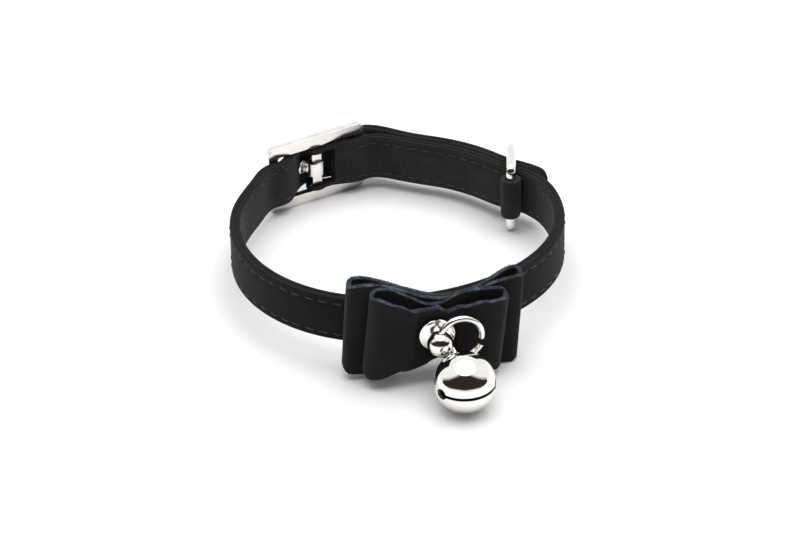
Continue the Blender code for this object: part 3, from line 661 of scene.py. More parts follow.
def raw_edge(name):
    """Cut edge of the bow leather: blue grey fibres that catch the light."""
    made, tree, shader = new_finish(name, {
        "Roughness": 0.95, "Specular IOR Level": 0.10, "Sheen Weight": 0.16, "Sheen Roughness": 0.5,
        "Sheen Tint": (0.70, 0.78, 0.95, 1.0)})
    fibres = noise(tree, 3600.0, detail=6.0, roughness=0.75)
    patches = noise(tree, 420.0, detail=2.0)
    mixed = math_node(tree, "MULTIPLY_ADD", fibres, 0.6, span(tree, patches, 0.0, 0.45))
    stops = ((0.42, (0.008, 0.010, 0.015)), (0.54, (0.032, 0.041, 0.057)), (0.68, (0.120, 0.145, 0.190)))
    tree.links.new(colour_ramp(tree, mixed, stops), shader.inputs["Base Color"])
    bump(tree, shader, ((fibres, 0.8, 0.00015),))
    return made


def sewing_thread():
    made, tree, shader = new_finish("black waxed thread", {
        "Roughness": 0.6, "Specular IOR Level": 0.35, "Sheen Weight": 0.15})
    place = add_node(tree, "ShaderNodeTexCoord")
    twist = add_node(tree, "ShaderNodeTexWave", {"bands_direction": "DIAGONAL"}, Scale=900.0, Distortion=1.5)
    tree.links.new(place.outputs["Object"], twist.inputs["Vector"])
    stops = ((0.1, (0.011, 0.011, 0.012)), (0.9, (0.030, 0.030, 0.032)))
    tree.links.new(colour_ramp(tree, twist.outputs["Fac"], stops), shader.inputs["Base Color"])
    bump(tree, shader, ((twist.outputs["Fac"], 0.6, 0.00008),))
    return made


def bright_metal(name, dark, light, rough_low, rough_high):
    """Nickel plated metal: slightly warm, with faint haze and hair scratches."""
    made, tree, shader = new_finish(name, {"Metallic": 1.0})
    haze = noise(tree, 260.0, detail=4.0)
    tree.links.new(colour_ramp(tree, haze, ((0.3, dark), (0.7, light))), shader.inputs["Base Color"])
    tree.links.new(span(tree, haze, rough_low, rough_high), shader.inputs["Roughness"])
    place = add_node(tree, "ShaderNodeTexCoord")
    stretch = add_node(tree, "ShaderNodeMapping", Scale=(1.0, 6.0, 1.4), Rotation=(0.4, 0.2, 0.7))
    tree.links.new(place.outputs["Object"], stretch.inputs["Vector"])
    scratches = add_node(tree, "ShaderNodeTexNoise", Scale=2400.0, Detail=2.0)
    tree.links.new(stretch.outputs["Vector"], scratches.inputs["Vector"])
    bump(tree, shader, ((haze, 0.05, 0.0002), (scratches.outputs["Fac"], 0.04, 0.00002)))
    return made


STRAP_LEATHER = nubuck("black nubuck", (0.0046, 0.0045, 0.0040), (0.0118, 0.0115, 0.0104))
# The strap's own black leather made about three times lighter for the faces turned into the loop: painted
# light
STRAP_INNER_PAINTED_LIGHT = nubuck("black leather inner faces with painted light", (0.0130, 0.0128, 0.0126), (0.0330, 0.0325, 0.0320))
BOW_LEATHER = nubuck("black bow suede", (0.0070, 0.0063, 0.0061), (0.0165, 0.0150, 0.0147), nap_scale=4600.0)
BOW_EDGE = raw_edge("raw bow edge")
SLEEVE_LEATHER = nubuck("black sleeve leather", (0.0130, 0.0126, 0.0118), (0.0320, 0.0312, 0.0295))
THREAD_FINISH = sewing_thread()
NICKEL = bright_metal("polished nickel", (0.80, 0.78, 0.73), (0.92, 0.90, 0.86), 0.06, 0.16)
BUCKLE_NICKEL = bright_metal("plated buckle nickel", (0.78, 0.73, 0.69), (0.93, 0.88, 0.84), 0.12, 0.26)
BELL_NICKEL = bright_metal("bell nickel", (0.84, 0.82, 0.77), (0.93, 0.92, 0.88), 0.045, 0.10)
# Inside of the bell and the cut faces of its slit and holes: the nickel painted near black as painted shade
# in the hollow, and rougher
BELL_INSIDE_PAINTED_SHADE = bright_metal("dull bell inside with painted shade", (0.05, 0.045, 0.04), (0.12, 0.11, 0.10), 0.45, 0.65)


def dress(piece, *finishes):
    piece.data.materials.clear()
    for finish in finishes:
        piece.data.materials.append(finish)


def settle(piece, slot, *nodes):
    """Hand a finished piece to the frame: it rides on the body and stands for these nodes."""
    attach(piece, ROOT)
    if nodes:
        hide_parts(*nodes)


# Modelling helpers


def strip(name, columns, rows, spot):
    """Grid whose points are set by spot(column, row), with both numbers counted from 0."""
    deselect()
    bpy.ops.mesh.primitive_grid_add(x_subdivisions=columns, y_subdivisions=rows, size=2.0)
    piece = name_new(name)
    for corner in piece.data.vertices:
        column = round(0.5 * (corner.co.x + 1) * columns)
        row = round(0.5 * (corner.co.y + 1) * rows)
        corner.co = spot(column, row)
    return piece


def close_seams(piece):
    """Merge doubled points and turn the faces outward."""
    take(piece)
    bpy.ops.object.mode_set(mode="EDIT")
    bpy.ops.mesh.select_all(action="SELECT")
    bpy.ops.mesh.remove_doubles(threshold=0.000001)
    bpy.ops.mesh.normals_make_consistent(inside=False)
    bpy.ops.object.mode_set(mode="OBJECT")


def fill_ends(piece):
    """Close the open ends of a strip, with its seam merged and its faces outward."""
    take(piece)
    bpy.ops.object.mode_set(mode="EDIT")
    bpy.ops.mesh.select_all(action="SELECT")
    bpy.ops.mesh.remove_doubles(threshold=0.000001)
    bpy.ops.mesh.select_all(action="DESELECT")
    bpy.ops.mesh.select_mode(type="EDGE")
    bpy.ops.mesh.select_non_manifold()
    bpy.ops.mesh.fill_holes(sides=0)
    bpy.ops.mesh.select_all(action="SELECT")
    bpy.ops.mesh.normals_make_consistent(inside=False)
    bpy.ops.object.mode_set(mode="OBJECT")


def wire(name, points, radius, closed=False, roundness=5):
    """Round wire through the points, made a mesh."""
    curve = bpy.data.curves.new(name, "CURVE")
    curve.dimensions = "3D"
    curve.bevel_depth = radius
    curve.bevel_resolution = roundness
    curve.use_fill_caps = not closed
    run = curve.splines.new("POLY")
    run.points.add(len(points) - 1)
    for spot, point in zip(run.points, points):
        spot.co = (*point, 1.0)
    run.use_cyclic_u = closed
    piece = bpy.data.objects.new(name, curve)
    bpy.context.scene.collection.objects.link(piece)
    take(piece)
    bpy.ops.object.convert(target="MESH")
    piece = name_new(name)
    close_seams(piece)
    return piece


def turned(name, profile, steps=64):
    """Draw rows of (distance along Y, radius) as a chain of points and spin it round Y."""
    deselect()
    bpy.ops.mesh.primitive_plane_add(size=MM)
    piece = name_new(name)
    bpy.ops.object.mode_set(mode="EDIT")
    bpy.ops.mesh.select_mode(type="VERT")
    bpy.ops.mesh.select_all(action="SELECT")
    bpy.ops.mesh.merge(type="CENTER")
    bpy.ops.transform.translate(value=(profile[0][1], profile[0][0], 0.0))
    for before, after in zip(profile, profile[1:]):
        move = (after[1] - before[1], after[0] - before[0], 0.0)
        bpy.ops.mesh.extrude_region_move(TRANSFORM_OT_translate={"value": move})
    bpy.ops.mesh.select_all(action="SELECT")
    bpy.ops.mesh.spin(steps=steps, angle=math.tau, center=(0, 0, 0), axis=(0, 1, 0))
    bpy.ops.object.mode_set(mode="OBJECT")
    close_seams(piece)
    return piece


def block(name, low, high):
    """Box between two corners."""
    deselect()
    middle = [0.5 * (a + b) for a, b in zip(low, high)]
    bpy.ops.mesh.primitive_cube_add(size=1.0, location=middle)
    piece = name_new(name)
    piece.scale = [b - a for a, b in zip(low, high)]
    fix_place()
    return piece


def rod(name, radius, half_length, frame, steps=32):
    """Cylinder along the frame's second axis, for cutting."""
    deselect()
    bpy.ops.mesh.primitive_cylinder_add(vertices=steps, radius=radius, depth=2 * half_length)
    piece = name_new(name)
    piece.matrix_world = frame @ Matrix.Rotation(math.radians(90), 4, "X")
    fix_place()
    return piece


def rounded_drop(distance, corner):
    if distance >= corner:
        return 0.0
    return corner - math.sqrt(max(corner ** 2 - (corner - distance) ** 2, 0.0))


# Strap and stitching


def strap_section():
    """The whole section as (across, rise) pairs, outer face first."""
    half = 0.5 * STRAP_WIDTH
    face = 0.5 * STRAP_THICK
    quarter = [(face - into * MM, half - below * MM) for into, below in SECTION_HALF]
    top = quarter + [(-across, rise) for across, rise in quarter[-2::-1]]
    return top + [(across, -rise) for across, rise in top[-2:0:-1]]


def make_strap():
    section = strap_section()
    sides = len(section)
    stations = [(point, out, 0.0) for point, out in zip(STRAP_LINE[:-1], STRAP_OUTS)]
    tip = STRAP_LINE[-1]
    back = (STRAP_LINE[-2] - tip).normalized()
    stations = [row for row in stations if (row[0] - tip).length > 1.3 * TAIL_CORNER]
    for share in (1.2, 1.0, 0.8, 0.6, 0.42, 0.26, 0.13, 0.04, 0.0):
        distance = share * TAIL_CORNER
        stations.append((tip + distance * back, STRAP_OUTS[-1], rounded_drop(distance, TAIL_CORNER)))
    half = 0.5 * STRAP_WIDTH

    def spot(column, row):
        point, out, drop = stations[column]
        across, rise = section[row % sides]
        return point + across * out + rise * (half - drop) / half * UP

    strap = strip("strap_leather", len(stations) - 1, sides, spot)
    fill_ends(strap)

    half_bar = 0.5 * CENTRE_BAR
    deselect()
    bpy.ops.mesh.primitive_cylinder_add(vertices=48, radius=1.0, depth=STRAP_WIDTH - 0.4 * MM)
    eye = name_new("strap_eye")
    eye.matrix_world = BUCKLE_FRAME @ Matrix.Diagonal((half_bar + GAP + EYE_PLY, EYE_OUTER, 1.0, 1.0))
    fix_place()
    cut(strap, eye, "UNION")
    bar = block("bar_way", (-half_bar - GAP, -0.5 * BUCKLE_THICK - GAP, -STRAP_WIDTH),
                (half_bar + GAP, 0.5 * BUCKLE_THICK + GAP, STRAP_WIDTH))
    bar.matrix_world = BUCKLE_FRAME
    slot = block("tongue_slot", (-half_bar - GAP - 2 * EYE_PLY, -EYE_OUTER - GAP, -0.5 * SLOT_HEIGHT),
                 (SLOT_REACH, EYE_OUTER + 0.5 * GAP, 0.5 * SLOT_HEIGHT))
    slot.matrix_world = BUCKLE_FRAME
    cut(strap, bar)
    cut(strap, slot)
    hole = 0.5 * EYELET_BORE + EYELET_WALL + CLOSE_GAP
    holes = [rod(f"hole_{number}", hole, 0.7 * STRAP_THICK, eyelet_frame(number))
             for number in range(SPARE_HOLES + 1)]
    holes.append(rod("rivet_hole", 0.5 * STUD_SHANK + CLOSE_GAP, 3 * STRAP_THICK, BOW_FRAME))
    cut(strap, join(holes, "holes"))
    smooth(strap, 50)
    dress(strap, STRAP_LEATHER, STRAP_INNER_PAINTED_LIGHT)
    nearest = KDTree(len(STRAP_LINE))
    for index, point in enumerate(STRAP_LINE):
        nearest.insert((point.x, point.y, 0.0), index)
    nearest.balance()
    # Faces turned into the loop get the lighter leather, which is painted light
    for face in strap.data.polygons:
        index = nearest.find((face.center.x, face.center.y, 0.0))[1]
        if face.normal.dot(STRAP_OUTS[index]) < -0.9:
            face.material_index = 1
    put(strap, Matrix())
    settle(strap, "black_leather", "strap")
    return strap


def make_stitches():
    """One stitch, copied along both edges on both faces of the strap."""
    deselect()
    bpy.ops.mesh.primitive_uv_sphere_add(segments=10, ring_count=8, radius=0.5)
    stitch = name_new("stitch")
    stitch.rotation_euler = (0.0, math.radians(90), 0.0)
    stitch.scale = (THREAD, THREAD, STITCH_LENGTH)
    fix_place()
    for corner in stitch.data.vertices:
        share = 2 * corner.co.x / STITCH_LENGTH
        corner.co.y -= STITCH_SAG * share * share
        corner.co.z += STITCH_SLANT * share
    loose = random.Random(4)
    copies = []
    count = int((STRAP_RUN[-1] - STITCH_STOP - STITCH_START) / STITCH_PITCH)
    for number in range(count):
        seat = frame_at_run(STITCH_START + number * STITCH_PITCH)
        for face in (1, -1):
            for edge in (1, -1):
                copy = copy_of(stitch)
                rise = edge * (0.5 * STRAP_WIDTH - STITCH_INSET) + loose.uniform(-0.04, 0.04) * MM
                turn = Matrix.Rotation(math.radians(loose.uniform(-2.5, 2.5)), 4, "Y")
                flip = Matrix.Diagonal((1.0, face, 1.0, 1.0))
                shift = Matrix.Translation((0.0, face * (0.5 * STRAP_THICK - 0.02 * MM), rise))
                copy.matrix_world = seat @ shift @ turn @ flip
                copies.append(copy)
    bpy.data.objects.remove(stitch)
    stitches = join(copies, "strap_stitches")
    close_seams(stitches)
    smooth(stitches, 60)
    dress(stitches, THREAD_FINISH)
    put(stitches, stitches.matrix_world.copy())
    settle(stitches, "black_leather")


# Buckle, tongue and eyelets


def make_buckle():
    """Plate with a rim left round two windows, its corners and edges rounded."""
    half = Vector((0.5 * BUCKLE_LENGTH, 0.5 * BUCKLE_THICK, 0.5 * BUCKLE_HEIGHT))
    plate = block("buckle_plate", -half, half)
    bevel_edges(plate, BUCKLE_CORNER, lambda middle, way: abs(way.y) > 0.99)
    inner = half.x - END_BAR
    window = half.z - RAIL_HEIGHT
    for low, high in ((-inner, -0.5 * CENTRE_BAR), (0.5 * CENTRE_BAR, inner)):
        opening = block("window", (low, -2 * half.y, -window), (high, 2 * half.y, window))
        bevel_edges(opening, 0.5 * MM, lambda middle, way: abs(way.y) > 0.99)
        cut(plate, opening)
    round_edges(plate, 0.42 * MM, 4, 50)
    smooth(plate, 40)
    dress(plate, BUCKLE_NICKEL)
    put(plate, BUCKLE_FRAME)
    settle(plate, "chrome", "buckle_frame")


def bevel_edges(piece, width, wanted):
    """Round the edges for which wanted(middle, direction) is true."""
    take(piece)
    mesh = piece.data
    bpy.ops.object.mode_set(mode="EDIT")
    bpy.ops.mesh.select_mode(type="EDGE")
    bpy.ops.mesh.select_all(action="DESELECT")
    bpy.ops.object.mode_set(mode="OBJECT")
    for edge in mesh.edges:
        first, second = (mesh.vertices[index].co for index in edge.vertices)
        edge.select = wanted(0.5 * (first + second), (second - first).normalized())
    bpy.ops.object.mode_set(mode="EDIT")
    bpy.ops.mesh.bevel(offset=width, segments=8, affect="EDGES")
    bpy.ops.object.mode_set(mode="OBJECT")


def make_tongue():
    half_bar = 0.5 * CENTRE_BAR
    reach = half_bar + GAP + KNUCKLE_WALL
    depth = 0.5 * BUCKLE_THICK + GAP + KNUCKLE_WALL
    deselect()
    bpy.ops.mesh.primitive_cylinder_add(vertices=48, radius=1.0, depth=KNUCKLE_HEIGHT)
    knuckle = name_new("knuckle")
    knuckle.scale = (reach, depth, 1.0)
    fix_place()
    cut(knuckle, block("knuckle_way", (-half_bar - GAP, -0.5 * BUCKLE_THICK - GAP, -KNUCKLE_HEIGHT),
                       (half_bar + GAP, 0.5 * BUCKLE_THICK + GAP, KNUCKLE_HEIGHT)))
    round_edges(knuckle, 0.18 * MM, 3, 50)

    eyelet = BUCKLE_FRAME.inverted() @ eyelet_frame(0)
    middle = eyelet.translation
    through = eyelet.to_3x3() @ Vector((0.0, 1.0, 0.0))
    clear = 0.5 * STRAP_THICK + GAP + EYELET_LIP
    rest = 0.5 * BUCKLE_THICK + GAP + 0.5 * TONGUE_WIRE
    leave_eyelet = middle + clear * through
    seat = Vector((-END_BAR_AT, rest, 0.0))
    route = [
        Vector((-reach + 0.15 * KNUCKLE_WALL, 0.0, 0.0)),
        middle - clear * through,
        middle,
        leave_eyelet,
        leave_eyelet + Vector((-1.5 * TONGUE_WIRE, TONGUE_RISE * 0.55, 0.0)),
        seat + Vector((2 * TONGUE_WIRE, TONGUE_RISE, 0)),
        seat,
        seat - Vector((0.5 * END_BAR + TONGUE_TIP - 0.5 * TONGUE_WIRE, 0.0, 0.0)),
    ]
    flat = [Vector((spot.x, spot.y, 0.0)) for spot in route]
    pin = wire("tongue_pin", smooth_curve(flat, 0.4 * MM), 0.5 * TONGUE_WIRE)
    end = flat[-1].x
    for corner in pin.data.vertices:
        share = min(max((end + 1.2 * TONGUE_WIRE - corner.co.x) / (1.2 * TONGUE_WIRE), 0.0), 1.0)
        squeeze = math.sqrt(1.0 - 0.7 * share * share)
        corner.co.z *= squeeze
        corner.co.y = rest + (corner.co.y - rest) * squeeze if share > 0 else corner.co.y
    tongue = join([knuckle, pin], "tongue_metal")
    smooth(tongue, 40)
    dress(tongue, NICKEL)
    put(tongue, BUCKLE_FRAME)
    settle(tongue, "chrome", "buckle_tongue")


def make_eyelets():
    """Pressed rings with rolled lips; the spare ones have none on the hidden side."""
    bore = 0.5 * EYELET_BORE
    barrel = bore + EYELET_WALL
    flange = 0.5 * EYELET_FLANGE
    for number in range(SPARE_HOLES + 1):
        face = 0.5 * STRAP_THICK + (GAP if number == 0 else CLOSE_GAP)
        lip = []
        for degrees in range(-20, 201, 20):
            turn = math.radians(degrees)
            across = 0.5 * (flange - bore) * math.cos(turn)
            lip.append((face + 0.06 * MM + (EYELET_LIP - 0.06 * MM) * max(math.sin(turn), -0.15),
                        0.5 * (flange + bore) + across))
        outer = [(face, barrel)] + lip
        if number == 0:
            inner = [(-along, radius) for along, radius in reversed(outer)]
        else:
            inner = [(-0.5 * STRAP_THICK, bore), (-0.5 * STRAP_THICK, barrel)]
        profile = inner + outer
        name = "eyelet_pinned" if number == 0 else f"eyelet_{number}"
        piece = turned(name + "_ring", profile + profile[:1], 48)
        smooth(piece, 50)
        dress(piece, NICKEL)
        put(piece, eyelet_frame(number))
        settle(piece, "chrome", name)


# Leash ring and sleeve


def make_leash_ring():
    half = 0.5 * (RING_HEIGHT - RING_WIRE)
    path = [Vector((0, 0, height * (half - RING_CORNER) / 6)) for height in range(-6, 6)]
    for step in range(9):
        a = math.radians(90 * step / 8)
        path.append(Vector((0, RING_CORNER * (1 - math.cos(a)), half - RING_CORNER * (1 - math.sin(a)))))
    for step in range(49):
        a = math.radians(180 * step / 48)
        path.append(Vector((0, RING_STRAIGHT + RING_ARCH * math.sin(a), half * math.cos(a))))
    for step in range(8):
        a = math.radians(90 * (8 - step) / 8)
        path.append(Vector((0, RING_CORNER * (1 - math.cos(a)), RING_CORNER * (1 - math.sin(a)) - half)))
    ring = wire("leash_ring_wire", path, 0.5 * RING_WIRE, closed=True, roundness=8)
    smooth(ring, 60)
    dress(ring, NICKEL)
    put(ring, RING_FRAME)
    settle(ring, "chrome", "leash_ring")

    outer = SLEEVE_BORE + SLEEVE_WALL
    end = 0.5 * SLEEVE_LENGTH
    profile = [(-end, SLEEVE_BORE)]
    for degrees in range(0, 91, 15):
        a = math.radians(degrees)
        profile.append((SLEEVE_ROUND * (1 - math.cos(a)) - end, outer - SLEEVE_ROUND * (1 - math.sin(a))))
    profile += [(end * (row - 4) / 5, outer) for row in range(1, 8)]
    profile += [(end - 0.5 * SLEEVE_ROUND * (1 - math.sin(a)), outer - 0.5 * SLEEVE_ROUND * (1 - math.cos(a)))
                for a in (math.radians(degrees) for degrees in range(0, 91, 30))]
    profile.append((end, SLEEVE_BORE))
    sleeve = turned("leather_sleeve", profile + profile[:1], 48)
    smooth(sleeve, 50)
    dress(sleeve, SLEEVE_LEATHER)
    put(sleeve, SLEEVE_FRAME)
    settle(sleeve, "black_leather", "ring_sleeve")


# Bow


def bow_line(bow, left_fold, right_fold):
    """Closed plan line of a folded band, as (aside, out) points."""
    pinch = 0.5 * (BOW_PLY + GAP)
    half = 0.5 * (bow["width"] - BOW_PLY)

    def side(sign, fold):
        front = []
        back = []
        for share, front_share, back_share in fold:
            middle = -bow["recede"] * share ** 2
            front.append((sign * share * half, middle + pinch + front_share * bow["depth"]))
            back.append((sign * share * half, middle - pinch - back_share * bow["depth"]))
        end = (sign * half, 0.5 * (front[-1][1] + back[-1][1]))
        return front, back, end

    right_front, right_back, right_end = side(1, right_fold)
    left_front, left_back, left_end = side(-1, left_fold)
    line = right_front + [right_end] + right_back[::-1]
    line += left_back[1:] + [left_end] + left_front[:0:-1]
    return [Vector((aside, out, 0.0)) for aside, out in line]


def bow_edges(bow, rows):
    """Read a band's cut edges smoothly: how far aside, lower edge and upper edge above the table."""
    size = (0.5 * bow["width"], bow["height"], bow["height"])
    points = [Vector([share * length for share, length in zip(row, size)]) for row in rows]
    return np.array([tuple(point) for point in smooth_curve(points, BOW_STEP)]).T


def splay(point, height):
    """How far a bow's front ply leans out above and below the stud's disc, where nothing holds it down."""
    if point.y <= 0.0:
        return 0.0
    free = min(max(abs(height) - SPLAY_FROM, 0.0) / SPLAY_OVER, 1.0)
    near = max(1.0 - (abs(point.x) / SPLAY_WIDTH) ** 2, 0.0)
    return (SPLAY_ABOVE if height > 0.0 else SPLAY_BELOW) * free * free * near


def make_bow(name, node, bow, folds, edges, seat, lean_angle, parting=None):
    """Folded suede band: a grid round its plan line, given its wall, then soft rounded cut edges."""
    line = smooth_curve(bow_line(bow, *folds), BOW_STEP, closed=True)
    aside, lower, upper = bow_edges(bow, edges)
    count = len(line)
    parted = bow_edges(bow, parting) if parting else np.zeros((3, 2))
    lean = math.tan(math.radians(lean_angle))
    worn = random.Random(len(name))
    ragged = [[worn.uniform(-1.0, 1.0) * BOW_EDGE_WEAR for _ in range(count)] for _ in range(2)]

    def edge_spot(column, share):
        """A point on the band, with share 0 on its lower cut edge and 1 on its upper one."""
        point = line[column % count]
        drop = rounded_drop(max(0.5 * bow["width"] - abs(point.x) - 0.5 * BOW_PLY, 0.0), BOW_CORNER)
        low = max(float(np.interp(point.x, aside, lower)), 0.0) + drop - BOW_PLACE.z
        high = float(np.interp(point.x, aside, upper)) - drop - BOW_PLACE.z
        high += float(np.interp(point.x, parted[0], parted[1 if point.y > 0 else 2]))
        rise = low + share * (high - low)
        if share in (0.0, 1.0):
            rise += ragged[int(share)][column % count]
        out = point.y + seat + (splay(point, rise) if parting else 0.0)
        return Vector((point.x + lean * rise, out, rise))

    band = strip(name, count, BOW_ROWS, lambda column, row: edge_spot(column, row / BOW_ROWS))
    close_seams(band)
    take(band)
    wall = band.modifiers.new("wall", "SOLIDIFY")
    wall.thickness = BOW_PLY
    wall.offset = 0.0
    wall.use_even_offset = True
    wall.material_offset_rim = 1
    dress(band, BOW_LEATHER, BOW_EDGE)
    apply_modifiers(band)
    round_edges(band, BOW_EDGE_ROUND, 3, 60, finish=1)
    cut(band, rod("rivet_way", 0.5 * STUD_SHANK + CLOSE_GAP, 3 * BOW_STACK, Matrix()))
    smooth(band, 70)
    put(band, BOW_FRAME)
    settle(band, "bow_leather", node)
    make_nap(name + "_nap", line, edge_spot)


def make_nap(name, line, edge_spot):
    """Loose fibres on a band's cut edges: one tapered strand, copied with its own size and lean."""
    deselect()
    bpy.ops.mesh.primitive_cone_add(vertices=3, radius1=FIBRE_RADIUS, radius2=0.0, depth=FIBRE_LENGTH)
    strand = name_new("strand")
    strand.location.z = FIBRE_LIFT
    fix_place()
    loose = random.Random(len(name) + 7)
    copies = []
    for column in range(len(line)):
        along = (line[(column + 1) % len(line)] - line[column - 1]).normalized()
        across = Vector((-along.y, along.x, 0.0))
        for share in (0.0, 1.0):
            seat = edge_spot(column, share)
            up = UP if share else -UP
            if seat.z + BOW_PLACE.z < FIBRE_CLEAR:
                continue
            for _ in range(FIBRES_ABOVE if share else FIBRES_BELOW):
                copy = copy_of(strand)
                lean = up + along * loose.uniform(-0.9, 0.9) + across * loose.uniform(-0.9, 0.9)
                foot = seat + along * loose.uniform(-0.5, 0.5) * BOW_STEP
                foot += across * loose.uniform(-0.46, 0.46) * BOW_PLY
                size = loose.uniform(0.5, 1.1)
                turn = lean.normalized().to_track_quat("Z", "Y").to_matrix().to_4x4()
                copy.matrix_world = Matrix.Translation(foot) @ turn
                copy.scale = (size, size, size)
                copies.append(copy)
    bpy.data.objects.remove(strand)
    nap = join(copies, name)
    take(nap)
    fix_place()
    dress(nap, BOW_EDGE)
    put(nap, BOW_FRAME)
    settle(nap, "bow_leather")


def make_bows():
    back_seat = GAP + 0.5 * BOW_PAIR
    front_seat = back_seat + BOW_PAIR + GAP
    make_bow("bow_back_band", "bow_back", BACK_BOW, (BACK_BOW_LEFT, BACK_BOW_RIGHT), BACK_BOW_EDGES,
             back_seat, BACK_BOW_LEAN)
    make_bow("bow_front_band", "bow_front", FRONT_BOW, (FRONT_BOW_LEFT, FRONT_BOW_RIGHT), FRONT_BOW_EDGES,
             front_seat, FRONT_BOW_LEAN, FRONT_BOW_PARTING)


# Stud, jump ring and bell


def make_stud():
    cap_face = -STRAP_THICK - 2 * GAP
    disc = BOW_STACK
    ball = 0.5 * STUD_BALL
    neck = 0.5 * STUD_NECK
    edge = 0.3 * STUD_CAP_THICK
    rim = 0.5 * STUD_DISC
    profile = [
        (cap_face - STUD_CAP_THICK, 0.0),
        (cap_face - STUD_CAP_THICK + 0.04 * MM, 0.5 * STUD_CAP - 3 * edge),
        (cap_face - STUD_CAP_THICK + 0.12 * MM, 0.5 * STUD_CAP - edge),
        (cap_face - STUD_CAP_THICK + edge, 0.5 * STUD_CAP - 0.3 * edge),
        (cap_face - 0.5 * STUD_CAP_THICK, 0.5 * STUD_CAP),
        (cap_face, 0.5 * STUD_CAP),
        (cap_face, 0.5 * STUD_SHANK),
        (disc, 0.5 * STUD_SHANK),
        (disc, rim - 0.12 * MM),
        (disc + 0.12 * MM, rim),
        (disc + STUD_RIM - 0.2 * MM, rim),
        (disc + STUD_RIM - 0.05 * MM, rim - 0.08 * MM),
        (disc + STUD_RIM, rim - 0.25 * MM),
        (disc + STUD_RIM - 0.02 * MM, rim - 0.5 * MM),
        (disc + STUD_RIM + 0.12 * STUD_CONE, 0.8 * rim),
        (disc + STUD_RIM + 0.30 * STUD_CONE, 0.66 * rim),
        (disc + STUD_RIM + 0.55 * STUD_CONE, 0.50 * rim),
        (disc + STUD_RIM + 0.85 * STUD_CONE, 0.37 * rim),
        (disc + STUD_RIM + STUD_CONE, neck),
    ]
    start = math.asin(neck / ball)
    for step in range(29):
        a = start + (math.pi - start) * step / 28
        profile.append((disc + STUD_REACH - ball * math.cos(a), ball * math.sin(a) if step < 28 else 0.0))
    stud = turned("stud_metal", profile, 96)
    set_place(stud, BOW_FRAME)
    points = [jump_point(360 * step / 72) for step in range(72)]
    cut(stud, wire("ring_way", points, 0.5 * JUMP_WIRE + GAP, closed=True, roundness=6))
    smooth(stud, 35)
    dress(stud, NICKEL)
    put(stud, Matrix())
    settle(stud, "chrome", "bell_stud")


def make_jump_ring():
    start = JUMP_GAP_TURN + 0.5 * JUMP_GAP_SWEEP
    sweep = 360 - JUMP_GAP_SWEEP
    points = []
    for step in range(97):
        share = step / 96
        points.append(jump_point(start + sweep * share) + (share - 0.5) * JUMP_SPRUNG * JUMP_SIDE)
    ring = wire("jump_ring_wire", points, 0.5 * JUMP_WIRE, roundness=8)
    smooth(ring, 45)
    dress(ring, NICKEL)
    put(ring, Matrix())
    settle(ring, "chrome", "jump_ring")


def make_bell():
    radius = 0.5 * BELL_DIAMETER
    deselect()
    bpy.ops.mesh.primitive_uv_sphere_add(segments=128, ring_count=64, radius=radius)
    bell = name_new("bell_shell")
    dress(bell, BELL_NICKEL, BELL_INSIDE_PAINTED_SHADE)
    # The inner faces get the near black nickel: painted shade inside the hollow
    wall = bell.modifiers.new("wall", "SOLIDIFY")
    wall.thickness = BELL_WALL
    wall.offset = -1.0
    wall.material_offset = 1
    apply_modifiers(bell)
    set_place(bell, axes_frame(BELL_MIDDLE, BELL_ACROSS, UP.cross(BELL_ACROSS), UP))

    slit_frame = BELL_FRAME @ Matrix.Rotation(math.radians(BELL_SLIT_RISE), 4, "X")
    hole_at = radius * math.cos(math.radians(BELL_SLIT_HALF))
    slit = block("slit", (-2 * radius, hole_at, -0.5 * BELL_SLIT), (2 * radius, 2 * radius, 0.5 * BELL_SLIT))
    # The slit's and holes' cut faces get the same painted shade
    dress(slit, BELL_INSIDE_PAINTED_SHADE)
    slit.matrix_world = slit_frame
    cut(bell, slit)
    across = slit_frame @ axes_frame(Vector((0, hole_at, 0)), Vector((0, -1, 0)), Vector((1, 0, 0)), UP)
    holes = rod("bell_holes", 0.5 * BELL_HOLE, 2 * radius, across)
    dress(holes, BELL_INSIDE_PAINTED_SHADE)
    cut(bell, holes)

    points = []
    for step in range(72):
        a = math.tau * step / 72
        spot = Vector((0.0, SHANK_RADIUS * math.cos(a) - SHANK_REACH, SHANK_RADIUS * math.sin(a)))
        points.append(BELL_FRAME @ spot)
    loop = wire("bell_loop", points, 0.5 * SHANK_WIRE, closed=True, roundness=6)
    dress(loop, BELL_NICKEL)
    bell = join([bell, loop], "bell_shell")
    smooth(bell, 30)
    put(bell, Matrix())
    settle(bell, "chrome", "bell")


# Floor, light and camera


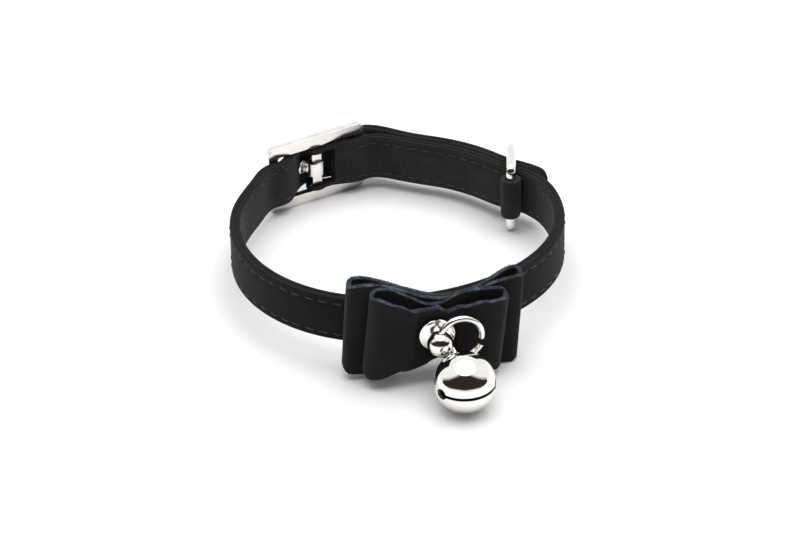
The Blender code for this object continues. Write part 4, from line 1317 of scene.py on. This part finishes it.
def make_stage():
    deselect()
    bpy.ops.mesh.primitive_plane_add(size=8.0, location=(0.0, 0.0, -0.0001))
    floor = name_new("pale_floor")
    made, tree, shader = new_finish("pale paper", {"Roughness": 0.9, "Specular IOR Level": 0.1})
    shades = colour_ramp(tree, noise(tree, 3.0), ((0.3, (0.80, 0.80, 0.80)), (0.7, (0.82, 0.82, 0.82))))
    tree.links.new(shades, shader.inputs["Base Color"])
    dress(floor, made)

    world = bpy.context.scene.world or bpy.data.worlds.new("studio")
    bpy.context.scene.world = world
    world.use_nodes = True
    tree = world.node_tree
    back = tree.nodes["Background"]
    level = Vector((-VIEW_AHEAD.x, -VIEW_AHEAD.y, 0.0)).normalized()
    toward = math.cos(math.radians(ROOM_RISE)) * level + math.sin(math.radians(ROOM_RISE)) * UP
    aside = UP.cross(toward).normalized()
    over = toward.cross(aside)
    place = add_node(tree, "ShaderNodeTexCoord")
    reach = []
    for axis in (aside, over, toward):
        dot = add_node(tree, "ShaderNodeVectorMath", {"operation": "DOT_PRODUCT"})
        dot.inputs[1].default_value = axis
        tree.links.new(place.outputs["Generated"], dot.inputs[0])
        reach.append(dot.outputs["Value"])
    width = math_node(tree, "MULTIPLY", math_node(tree, "ABSOLUTE", reach[0]), ROOM_ASIDE)
    above = math_node(tree, "MULTIPLY", math_node(tree, "MAXIMUM", reach[1], 0.0), ROOM_ABOVE)
    below = math_node(tree, "MULTIPLY", math_node(tree, "MINIMUM", reach[1], 0.0), ROOM_BELOW)
    below = math_node(tree, "MULTIPLY", below, below)
    behind = math_node(tree, "LESS_THAN", reach[2], 0.0)
    total = math_node(tree, "ADD", math_node(tree, "ADD", above, below), behind)
    total = math_node(tree, "ADD", math_node(tree, "POWER", width, ROOM_POINTED), total)
    stops = ((ROOM_BORDER[0], ROOM_DARK), (ROOM_BORDER[1], (1.0, 1.0, 1.0)))
    tree.links.new(colour_ramp(tree, total, stops), back.inputs["Color"])
    back.inputs["Strength"].default_value = 1.0

    deselect()
    bpy.ops.object.light_add(type="AREA", location=LAMP_PLACE)
    key = bpy.context.object
    key.name = "soft_box"
    key.data.shape = "DISK"
    key.data.size = LAMP_SIZE
    key.data.energy = LAMP_POWER
    key.rotation_euler = (-LAMP_PLACE).to_track_quat("-Z", "Y").to_euler()

    lens = bpy.data.cameras.new("view")
    lens.lens = LENS_LENGTH
    lens.sensor_width = FILM_WIDTH
    lens.clip_start = 0.01
    camera = bpy.data.objects.new("view", lens)
    bpy.context.scene.collection.objects.link(camera)
    camera.matrix_world = axes_frame(LOOP_MIDDLE + LENS_PLACE, VIEW_RIGHT, VIEW_UP, -VIEW_AHEAD)
    bpy.context.scene.camera = camera
    bpy.context.scene.view_settings.view_transform = "Standard"


make_strap()
make_stitches()
make_buckle()
make_tongue()
make_eyelets()
make_leash_ring()
make_bows()
make_stud()
make_jump_ring()
make_bell()
make_stage()
